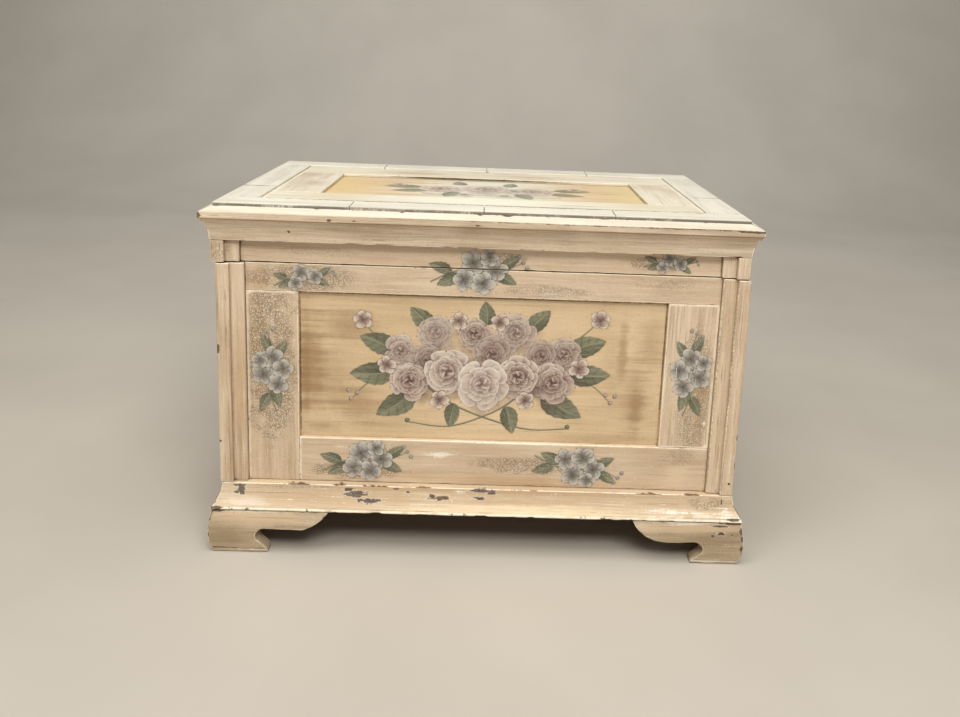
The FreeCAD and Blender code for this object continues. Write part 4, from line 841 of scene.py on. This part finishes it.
# base moulding
make("base_moulding_front", "x", BASE, (0.003, 0.004, 0.003), 21.3, bare_base, "dark", slot="painted_cream", edge_light=1.0, edge_dark=0.8, dirt=0.6,
     worn_args=dict(radius=0.0009, nick=0.0013, wave=0.0005),
     # the light band at mid height, at (60, 58), is a painted highlight along the moulding's bulge
     blobs=[(mm(60, -190, 58), mm(220, 20, 9), (234, 214, 176), 0.8), (mm(0, -185, 78), mm(300, 20, 5), (192, 161, 125), 0.8),
            (mm(-176, -190, 66), mm(120, 20, 14), (192, 165, 132), 0.75), (mm(285, -188, 70), mm(34, 20, 9), (190, 164, 130), 0.7)],
     white=[(mm(-266, -190, 60), mm(48, 30, 9), 0.4), (mm(222, -190, 60), mm(50, 30, 12), 1.0), (mm(290, -190, 62), mm(26, 30, 12), 0.9), (mm(258, -190, 59), mm(34, 30, 7), 0.6),
            (mm(-20, -187, 76), mm(14, 20, 4), 0.9), (mm(-150, -188, 72), mm(30, 20, 4), 0.7), (mm(70, -190, 56), mm(60, 20, 5), 0.6)],
     chips=[(mm(-270, -186, 73), mm(4.5, 14, 5.5), GREY_CHIP), (mm(-272, -186, 78), mm(7, 14, 1.8), GREY_CHIP), (mm(-275, -186, 70), mm(3.5, 14, 1.6), GREY_CHIP),
            (mm(-138, -187, 71), mm(13, 12, 4.5), GREY_CHIP), (mm(-124, -189, 65), mm(17, 12, 2.8), GREY_CHIP),
            (mm(-148, -186, 76), mm(6, 12, 2.2), GREY_CHIP), (mm(-43, -189, 69), mm(16, 12, 2.8), BROWN_CHIP),
            (mm(-52, -188, 71), mm(5, 12, 2.6), BROWN_CHIP), (mm(5, -186, 78.5), mm(15, 12, 2.4), GREY_CHIP),
            (mm(15, -187, 76), mm(6, 12, 2.6), GREY_CHIP), (mm(2, -188, 70), mm(6, 12, 1.8), BROWN_CHIP),
            (mm(-95, -187, 78), mm(4, 12, 1.0), BROWN_CHIP), (mm(-80, -187, 75), mm(2.5, 12, 1.4), BROWN_CHIP),
            (mm(282, -186, 74), mm(1.4, 12, 3.4), BROWN_CHIP),
            (mm(-204, -183, 80.4), mm(16, 8, 0.6), BROWN_CHIP, 0.9), (mm(-158, -183, 80.4), mm(8, 8, 0.7), BROWN_CHIP, 0.9), (mm(-116, -183, 80.2), mm(22, 8, 0.6), BROWN_CHIP, 0.9),
            (mm(-64, -183, 80.4), mm(9, 8, 0.5), BROWN_CHIP, 0.9), (mm(196, -183, 80.3), mm(15, 8, 0.6), BROWN_CHIP, 0.9), (mm(246, -183, 80.3), mm(9, 8, 0.7), BROWN_CHIP, 0.9),
            (mm(-299, -193, 54.5), mm(9, 10, 2.2), GREY_CHIP), (mm(-270, -194, 51.2), mm(12, 10, 1.0), BROWN_CHIP), (mm(-303, -193, 60), mm(3, 10, 2.4), BROWN_CHIP), (mm(294, -190, 56), mm(8, 12, 1.8), GREY_CHIP)],
     crackle=[(mm(266, -187, 72), mm(26, 12, 10), 0.8), (mm(-200, -187, 78), mm(60, 12, 4), 0.5)])
for side, sx in (("left", -1), ("right", 1)):
    make("base_moulding_" + side, "y", BASE, (0.004, 0.004, 0.004), 22.1 + sx, bare_base, "dark", slot="painted_cream", edge_light=1.0,
         edge_dark=1.0, worn_args=dict(radius=0.0009, nick=0.0013, wave=0.0005),
         white=[(mm(sx * 300, -120, 60), mm(14, 40, 9), 0.8), (mm(sx * 300, 70, 62), mm(14, 50, 8), 0.5)],
         chips=[(mm(sx * 298, -60, 70), mm(12, 14, 3), GREY_CHIP), (mm(sx * 300, 40, 66), mm(12, 9, 3), BROWN_CHIP),
                (mm(sx * 300, 120, 72), mm(12, 6, 2.6), GREY_CHIP), (mm(sx * 304, -176, 56), mm(8, 8, 2.2), GREY_CHIP)])

# feet
for node, along, seed in (("foot_front_left_face", "x", 24.1), ("foot_front_right_face", "x", 25.6), ("foot_front_left_return", "y", 26.2),
                          ("foot_front_right_return", "y", 27.4), ("foot_rear_left_side", "y", 28.9), ("foot_rear_right_side", "y", 29.5)):
    sx = -1 if "left" in node else 1
    front = "face" in node
    yy = -195 if front else (-120 if "return" in node else 130)
    chips = [(mm(sx * 305.5, -192, 42), mm(2.6, 8, 4.5), GREY_CHIP), (mm(sx * 296, -192, 50.5), mm(14, 14, 1.3), BROWN_CHIP),
             (mm(sx * 306.5, -192, 33), mm(2.2, 8, 4), GREY_CHIP), (mm(sx * 306.5, -192, 22), mm(1.8, 8, 3), BROWN_CHIP)]
    if node == "foot_front_right_face":
        chips += [(mm(282, -194, 39), mm(7, 10, 2.4), RED_CHIP), (mm(272, -194, 36), mm(2.4, 10, 2.6), RED_CHIP),
                  (mm(280, -194, 47.5), mm(9, 10, 1.4), GREY_CHIP), (mm(295, -194, 38), mm(2, 8, 1.4), BROWN_CHIP)]
    if not front:
        chips = [(mm(sx * 306, yy + 30, 44), mm(10, 12, 2.4), BROWN_CHIP), (mm(sx * 306, yy - 40, 30), mm(10, 4, 3), GREY_CHIP)]
    make(node, along, FOOT, (0.003, 0.003, 0.003), seed, bare_base, "dark", slot="painted_cream", edge_light=1.0, edge_dark=0.7,
         worn_args=dict(radius=0.001, nick=0.0014, wave=0.0004), chips=chips, streak=0.6,
         blobs=[(mm(sx * 285, -196, 22), mm(46, 20, 20), (150, 130, 98), 0.78 if sx < 0 else 0.5),
                (mm(sx * 250, -196, 46), mm(76, 30, 14), (204, 179, 147) if sx < 0 else (193, 168, 136), 0.9)] if front else (),
         white=[(mm(sx * 262, -192, 3), mm(60, 20, 4), 0.8), (mm(sx * 250, -192, 50), mm(60, 20, 2.5), 0.6)] if front
         else [(mm(sx * 302, yy, 3), mm(20, 60, 4), 0.5)])

# lid: frieze, corner blocks, cornice
# the front frieze takes a lighter copy of the cream: painted light against the shadow under the cornice
make("lid_frieze_front", "x", dict(CREAM, tint=(222, 200, 173), shade=(213, 189, 161)), RAIL, 30.2, bare_lid, slot="painted_cream",
     crackle=[(*f(190, 351, 36, 10), 0.9), (*f(20, 351, 30, 8), 0.9), (*f(-180, 352, 60, 6), 0.35)],
     blobs=[(*f(0, 343, 290, 5), (188, 152, 106), 0.3)])
for side, sx in (("left", -1), ("right", 1)):
    make("lid_frieze_" + side, "y", CREAM, (0.009, 0.007, 0.009), 31.1 + sx, bare_lid, "bare_y", slot="painted_cream",
         crackle=[(mm(sx * 286, 40, 351), mm(16, 60, 9), 0.7)])
make("lid_corner_blocks", "z", CREAM, (0.004, 0.004, 0.004), 32.5, bare_lid, "bare_v", slot="painted_cream", lines=0.7, streak=0.6,
     worn_args=dict(radius=0.0009, nick=0.0008, wave=0.0002), crackle=[(mm(-288, -182, 351), mm(14, 20, 14), 0.6)])
make("cornice_front", "x", COVE, (0.004, 0.005, 0.004), 33.3, bare_lid, slot="painted_cream", top_white=0.85, edge_light=1.0, edge_dark=0.9, lines=0.8, streak=0.6,
     worn_args=dict(radius=0.0008, nick=0.0012, wave=0.0004),
     chips=[(mm(-308, -193, 391.5), mm(4, 6, 3), BROWN_CHIP), (mm(288, -195, 393.8), mm(17, 6, 1.5), (86, 68, 54)),
            (mm(-168, -192, 391.2), mm(2.6, 8, 1.8), BROWN_CHIP), (mm(-213, -186, 375.5), mm(1.4, 8, 1.4), BROWN_CHIP),
            (mm(-142, -192, 391.0), mm(2.0, 8, 0.8), BROWN_CHIP), (mm(-10, -193, 390.8), mm(3.0, 8, 1.0), BROWN_CHIP)]
     + [(mm(x, -195.0, 394.9), mm(r, 4, h), (104, 82, 62)) for x, r, h in
        ((150, 190, 0.45), (22, 14, 0.5), (62, 9, 0.6), (88, 16, 0.5), (121, 12, 0.8), (148, 8, 0.6), (176, 16, 0.7), (204, 9, 1.0), (228, 14, 0.7), (256, 12, 0.9))])
for side, sx in (("left", -1), ("right", 1)):
    make("cornice_" + side, "y", COVE, (0.005, 0.006, 0.005), 34.8 + sx, bare_lid, slot="painted_cream", top_white=0.85, edge_light=1.0, edge_dark=0.9, streak=0.6,
         worn_args=dict(radius=0.0008, nick=0.0012, wave=0.0004),
         chips=[(mm(sx * 304, -186, 388), mm(6, 8, 3), BROWN_CHIP), (mm(sx * 305, 30, 388), mm(6, 10, 2), BROWN_CHIP)])

# lid: top frame, panel and border strips
LID_Y0 = max(v.co.y for v in NODES["lid_border_front"].data.vertices) * 1000.0
LID_BLOBS = {
    "lid_front_rail": [(mm(-3, -108, 403), mm(170, 60, 10), (231, 228, 209), 1.0), (mm(-3, -100, 403), mm(120, 60, 10), (231, 229, 211), 0.8),
                       (mm(-180, -100, 403), mm(60, 40, 10), (214, 196, 154), 0.5), (mm(176, -100, 403), mm(50, 40, 10), (214, 200, 164), 0.5)],
    "lid_back_rail": [(mm(-3, 112, 403), mm(250, 34, 10), (216, 204, 178), 0.6), (mm(-100, 118, 403), mm(60, 22, 10), (180, 152, 124), 0.5),
                      (mm(60, 118, 403), mm(80, 18, 10), (182, 154, 128), 0.45),
                      # dark line on the rail's inner face just above the sunk panel, laid twice: painted shade in the
                      # recess
                      (mm(-3, 89.8, 400.4), mm(206, 1.6, 1.9), (88, 66, 44), 1.0), (mm(-3, 89.8, 400.4), mm(206, 1.6, 1.9), (88, 66, 44), 0.7)],
    "lid_left_stile": [(mm(-234, 70, 403), mm(26, 34, 10), (186, 158, 134), 0.5), (mm(-220, -6, 403), mm(26, 40, 10), (182, 158, 142), 0.55),
                       (mm(-226, 110, 403), mm(40, 14, 10), (172, 138, 96), 0.45)],
    "lid_right_stile": [(mm(216, 60, 403), mm(22, 40, 10), (190, 160, 130), 0.45), (mm(236, 20, 403), mm(18, 70, 10), (182, 164, 140), 0.35)],
}
for node, along, seed in (("lid_front_rail", "x", 36.1), ("lid_back_rail", "x", 37.2), ("lid_left_stile", "y", 38.4), ("lid_right_stile", "y", 39.7)):
    make(node, along, CREAM_LIT_FROM_ABOVE, (0.008, 0.008, 0.008), seed, bare_lid, slot="painted_cream", dirt=0.12, streak=0.55,
         edge_light=0.2 if node == "lid_back_rail" else 1.0, blobs=LID_BLOBS[node])
make("lid_panel", "x", OCHRE, (0.012, 0.012, 0.02), 40.3, bare_lid, slot="panel_ochre", lines=0.3, edge_dark=0.0,
     worn_args=dict(radius=0.0, nick=0.0, wave=0.00005),
     blobs=[(mm(-190, 10, 399), mm(70, 130, 10), (216, 190, 138), 0.85), (mm(185, 10, 399), mm(70, 130, 10), (216, 196, 148), 0.85),
            (mm(-3, 5, 399), mm(150, 260, 10), (222, 219, 199), 1.0), (mm(-3, 5, 399), mm(110, 160, 10), (222, 220, 202), 1.0),
            # the dark band along the panel's back edge, at (0, 86), is painted shade in the recess
            (mm(-3, -74, 399), mm(200, 22, 10), (222, 219, 199), 0.8), (mm(0, 86, 399), mm(200, 5, 10), (150, 124, 90), 0.5)])
for node, along, seed in (("lid_border_front", "x", 41.1), ("lid_border_back", "x", 42.6), ("lid_border_sides", "y", 43.8)):
    # the front strip's dark line along its inner edge is painted shadow of the step down to the frame; the side marks
    # are dark joints
    marks = {"lid_border_front": [(mm(-3.6, LID_Y0 - 0.6, 404.7), mm(270, 4.6, 3), (126, 112, 92), 0.85)],
             "lid_border_sides": [(mm(-282, -55.65, 404.7), mm(27, 2.0, 3), (98, 90, 76), 0.85), (mm(276, -28.65, 404.7), mm(27, 1.8, 3), (122, 112, 94), 0.7)]}
    make(node, along, WHITE, (0.004, 0.004, 0.003), seed, None, slot="border_white", edge_light=0.6, edge_dark=1.0, streak=0.35, chips=marks.get(node, ()),
         worn_args=dict(radius=0.0006, nick=0.0009, wave=0.0003), front_dirt=0.85 if "front" in node else 0.0, dirt=0.2)

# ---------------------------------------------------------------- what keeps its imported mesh

CAD_LOOK = {
    "bare": wood("bare_board", "x", (192, 156, 112), (160, 120, 78), 6.0),
    "bare_side": wood("bare_board_upright", "z", (192, 156, 112), (160, 120, 78), 7.0),
    "back": wood("bare_back", "x", (176, 140, 98), (140, 104, 68), 8.0, 0.35),
    "brass": metal("old_brass", (198, 160, 92), (128, 96, 52), 0.34, 1.0),
    "steel": metal("screw_steel", (150, 142, 130), (92, 84, 76), 0.42, 2.0),
}


def cad_look(node):
    if "screw" in node or "pins" in node:
        return "steel" if "screw" in node else "brass"
    if node.startswith(("hinge", "stay")):
        return "brass"
    if node.startswith(("back_", "base_back", "lid_back_board")):
        return "back"
    return "bare"


for name, o in NODES.items():
    if o.hide_render:
        continue
    o.data.materials.clear()
    o.data.materials.append(CAD_LOOK[cad_look(name)])

# ---------------------------------------------------------------- painted flowers


def front_place(y):
    return lambda U, V: np.stack([U, np.full(U.shape, y), V], 1)


def top_place(z):
    return lambda U, V: np.stack([U, V, np.full(U.shape, z)], 1)


# main spray on the front panel
cv = Canvas(-0.158, 0.158, 0.1405, 0.3035)
haze(cv, (-0.005, 0.228), 0.120, 0.056, MAUVE["mid"], 0.36, 5)
haze(cv, (0.0, 0.212), 0.088, 0.034, MAUVE["deep"], 0.5, 6)
stem(cv, [(-0.070, 0.204), (-0.034, 0.178), (0.010, 0.160), (0.056, 0.149), (0.098, 0.151)], 0.0030, 0.0018, LEAF, 0.94, 1)
stem(cv, [(0.062, 0.216), (0.036, 0.184), (0.004, 0.164), (-0.038, 0.150), (-0.082, 0.154)], 0.0028, 0.0016, LEAF, 0.94, 2)
stem(cv, [(0.075, 0.236), (0.106, 0.258), (0.130, 0.280)], 0.0022, 0.0014, LEAF, 0.92, 3)
stem(cv, [(-0.080, 0.226), (-0.112, 0.246), (-0.134, 0.272)], 0.0022, 0.0014, LEAF, 0.92, 4)
stem(cv, [(-0.100, 0.206), (-0.128, 0.200), (-0.146, 0.182)], 0.0018, 0.0012, LEAF, 0.92, 5)
stem(cv, [(0.100, 0.212), (0.126, 0.204), (0.146, 0.186)], 0.0018, 0.0012, LEAF, 0.92, 6)
for i, (x, z, ang, L, W, b) in enumerate((
        (-0.098, 0.238, 148, 0.044, 0.026, 0.16), (-0.100, 0.214, 192, 0.050, 0.028, -0.14), (-0.078, 0.190, 226, 0.050, 0.029, -0.2),
        (-0.030, 0.178, 252, 0.030, 0.018, 0.12), (0.028, 0.176, 292, 0.034, 0.021, -0.12), (0.070, 0.192, 318, 0.052, 0.030, 0.2),
        (0.098, 0.218, 350, 0.048, 0.027, 0.16), (0.098, 0.242, 30, 0.044, 0.026, -0.16), (0.052, 0.266, 58, 0.034, 0.021, -0.16),
        (0.004, 0.272, 88, 0.028, 0.019, 0.12), (-0.058, 0.264, 124, 0.036, 0.022, 0.15))):
    leaf(cv, (x, z), ang, L, W, 40 + i, b)
for x, z, r, k, t, tone, al in ((-0.093, 0.238, 0.0200, 14, 48, 0.10, 0.75), (0.092, 0.240, 0.0205, 18, 33, 0.05, 0.7), (-0.054, 0.262, 0.0215, 19, 3, 0.2, 0.62),
                                (0.036, 0.264, 0.0235, 13, 5, 0.12, 0.72), (-0.010, 0.262, 0.0200, 16, 57, 0.0, 0.8), (0.066, 0.238, 0.0190, 24, 10, -0.2, 0.9),
                                (-0.062, 0.228, 0.0220, 25, 70, -0.22, 0.9), (0.010, 0.238, 0.0225, 26, 30, -0.25, 0.92), (-0.082, 0.204, 0.0250, 11, 12, -0.05, 0.94),
                                (0.080, 0.206, 0.0255, 12, 30, -0.08, 0.94), (0.040, 0.212, 0.0265, 17, 41, 0.0, 0.96), (-0.040, 0.216, 0.0285, 20, 66, 0.12, 0.96),
                                (0.000, 0.202, 0.0310, 15, 20, 0.22, 0.97)):
    rose(cv, (x, z), r, toned(MAUVE, tone), k, t, alpha=al)
for i, (x, z, r, t) in enumerate(((0.131, 0.282, 0.0105, 10), (-0.135, 0.274, 0.0105, 40), (0.050, 0.184, 0.0110, 25), (-0.048, 0.182, 0.0108, 60),
                                  (0.110, 0.224, 0.0115, 50), (-0.108, 0.222, 0.0112, 15), (0.018, 0.276, 0.0105, 0), (-0.028, 0.276, 0.0102, 33))):
    blossom(cv, (x, z), r, MAUVE, 60 + i, t)
for i, (x, z) in enumerate(((-0.148, 0.180), (-0.141, 0.187), (-0.151, 0.190), (0.148, 0.184), (0.153, 0.192), (0.142, 0.193), (0.100, 0.153), (-0.084, 0.156))):
    berry(cv, (x, z), 0.0030, MAUVE if i < 6 else LEAF, 80 + i)
lay_sheet("panel_flowers", cv, front_place(-0.16605), (0, -1, 0), "root", deco_of("front_panel"))


def sprig(cv, at, angle, size, seed, flowers=3, mirror=1.0):
    """A short stem with a few small flowers, leaves and berries."""
    c, s = math.cos(math.radians(angle)), math.sin(math.radians(angle))

    def q(u, v):
        v *= mirror
        return (at[0] + (u * c - v * s) * size, at[1] + (u * s + v * c) * size)

    stem(cv, [q(-0.52, -0.10), q(-0.22, 0.02), q(0.12, -0.02), q(0.46, 0.10)], 0.0020, 0.0013, LEAF, 0.92, seed)
    for i, (u, v, a, L, W, b) in enumerate(((-0.30, 0.0, 150, 0.26, 0.13, 0.15), (-0.22, -0.02, 215, 0.27, 0.14, -0.15),
                                            (0.16, 0.0, -38, 0.27, 0.13, 0.12), (0.22, 0.03, 40, 0.26, 0.12, -0.12))):
        leaf(cv, q(u, v), angle + a * mirror, L * size, W * size, seed * 7 + i, b * mirror)
    haze(cv, at, 0.24 * size, 0.20 * size, SLATE["deep"], 0.5, seed)
    spots = ((-0.07, 0.10, 0.140), (0.16, 0.02, 0.135), (-0.17, -0.08, 0.125), (0.03, -0.12, 0.130), (0.10, 0.16, 0.10))[:flowers]
    for i, (u, v, r) in enumerate(spots):
        blossom(cv, q(u, v), r * size, SLATE, seed * 5 + i, angle + 20 * i)
    for i, (u, v) in enumerate(((0.46, 0.10), (0.42, 0.16), (0.50, 0.04))):
        berry(cv, q(u, v), 0.026 * size, SLATE, seed * 3 + i)


for node, body, (u0, u1, v0, v1), marks in (
        ("front_left_stile", "root", (-0.2625, -0.2075, 0.150, 0.305), [((-0.2355, 0.214), 84, 0.094, 101, 5, 1.0)]),
        ("front_right_stile", "root", (0.2075, 0.2625, 0.120, 0.300), [((0.2355, 0.226), 96, 0.098, 102, 5, -1.0)]),
        ("front_bottom_rail", "root", (-0.200, 0.190, 0.0830, 0.1325), [((-0.128, 0.107), 3, 0.100, 103, 5, 1.0), ((0.116, 0.107), -3, 0.100, 104, 5, -1.0)]),
        ("front_top_rail", "root", (-0.240, 0.050, 0.3070, 0.3374), [((-0.006, 0.3350), 2, 0.104, 105, 5, 1.0), ((-0.198, 0.3215), 4, 0.066, 107, 3, 1.0)]),
        ("lid_frieze_front", "lid", (-0.070, 0.260, 0.3394, 0.3632), [((-0.006, 0.3350), 2, 0.104, 105, 5, 1.0), ((0.206, 0.3512), -4, 0.058, 106, 3, 1.0)])):
    cv = Canvas(u0, u1, v0, v1)
    for at, angle, size, seed, flowers, mirror in marks:
        sprig(cv, at, angle, size, seed, flowers, mirror)
    y = FRONT if body == "root" else FRONT - 0.0005
    lay_sheet("flowers_" + node, cv, front_place(y), (0, -1, 0), body, deco_of(node))

# lid panel
cv = Canvas(-0.150, 0.140, -0.075, 0.085, 0.00055)
haze(cv, (-0.004, 0.006), 0.105, 0.05, MAUVE["mid"], 0.25, 25)
stem(cv, [(-0.1, 0.03), (-0.04, -0.022), (0.03, -0.04), (0.09, -0.034)], 0.0024, 0.0014, LEAF, 0.9, 31)
stem(cv, [(0.1, 0.034), (0.05, -0.01), (-0.01, -0.034), (-0.08, -0.036)], 0.0022, 0.0014, LEAF, 0.9, 32)
for i, (x, z, ang, L, W, b) in enumerate(((-0.086, 0.014, 165, 0.048, 0.026, 0.14), (-0.078, -0.004, 205, 0.046, 0.025, -0.14), (-0.04, -0.014, 245, 0.04, 0.022, 0.1),
                                          (0.036, -0.016, 300, 0.04, 0.022, -0.1), (0.076, -0.002, 335, 0.046, 0.025, 0.14), (0.084, 0.02, 15, 0.048, 0.026, -0.14),
                                          (0.024, 0.04, 70, 0.036, 0.02, 0.14), (-0.034, 0.042, 112, 0.036, 0.02, -0.14))):
    leaf(cv, (x, z), ang, L, W, 140 + i, b)
rose(cv, (-0.062, 0.008), 0.0290, MAUVE, 21, 10)
rose(cv, (0.056, 0.010), 0.0290, MAUVE, 22, 35)
rose(cv, (-0.003, 0.014), 0.0350, MAUVE, 23, 22)
for i, (x, z, r, t) in enumerate(((0.112, 0.036, 0.0105, 10), (-0.118, 0.034, 0.0105, 40), (0.02, -0.034, 0.0105, 25), (-0.03, -0.034, 0.0100, 60))):
    blossom(cv, (x, z), r, MAUVE, 160 + i, t)
cv.a *= 0.8
lay_sheet("lid_flowers", cv, top_place(0.3987), (0, 0, 1), "lid", deco_of("lid_panel"))

# ---------------------------------------------------------------- floor and light

m = Mat("plain_floor")
soft = m.noise(m.coords(), 3.0, 3.0, 0.5)
floor_mat = m.shader(m.mix(m.band(soft, 0.3, 0.7), (188, 181, 170), (194, 187, 176)), 0.7, None, spec=0.2)
bm = bmesh.new()
path = [(-4.0, 0.0), (2.0, 0.0)] + [(2.0 + 1.2 * math.sin(a), 1.2 - 1.2 * math.cos(a)) for a in np.radians(np.arange(6, 91, 6))] + [(3.2, 4.5)]
rows = [[bm.verts.new((x, y, z - 0.0002)) for x in (-9.0, 9.0)] for y, z in path]
for a, b in zip(rows, rows[1:]):
    bm.faces.new((a[0], a[1], b[1], b[0])).smooth = True
me = bpy.data.meshes.new("floor")
bm.to_mesh(me)
bm.free()
me.materials.append(floor_mat)
floor = bpy.data.objects.new("floor", me)
scene.collection.objects.link(floor)


def lamp(name, at, target, size, power, colour):
    data = bpy.data.lights.new(name, "AREA")
    data.shape = "RECTANGLE"
    data.size, data.size_y = size
    data.energy = power
    data.color = tuple(linear(colour))
    ob = bpy.data.objects.new(name, data)
    ob.location = at
    ob.rotation_euler = (Vector(target) - Vector(at)).to_track_quat("-Z", "Y").to_euler()
    ob.visible_camera = False
    scene.collection.objects.link(ob)
    return ob


lamp("overhead", (-0.05, -0.85, 2.6), (0.0, 0.0, 0.25), (2.4, 1.5), 51.5, (255, 253, 248))
lamp("key", (-1.5, -1.3, 1.9), (0.0, -0.1, 0.2), (0.8, 0.8), 9.0, (255, 251, 244))
lamp("front", (0.4, -2.2, 2.3), (0.0, 0.0, 0.2), (1.8, 0.8), 47.5, (255, 252, 246))
lamp("fill", (0.5, -2.7, 0.7), (0.0, 0.0, 0.2), (1.8, 0.8), 4.0, (255, 252, 246))
lamp("wall", (0.0, 1.3, 2.2), (0.0, 3.2, 1.0), (3.0, 0.6), 26.0, (250, 252, 255))
world = bpy.data.worlds.new("world")
scene.world = world
world.use_nodes = True
bg = world.node_tree.nodes.get("Background") or world.node_tree.nodes.new("ShaderNodeBackground")
bg.inputs[0].default_value = (0.92, 0.91, 0.88, 1.0)
bg.inputs[1].default_value = 0.12
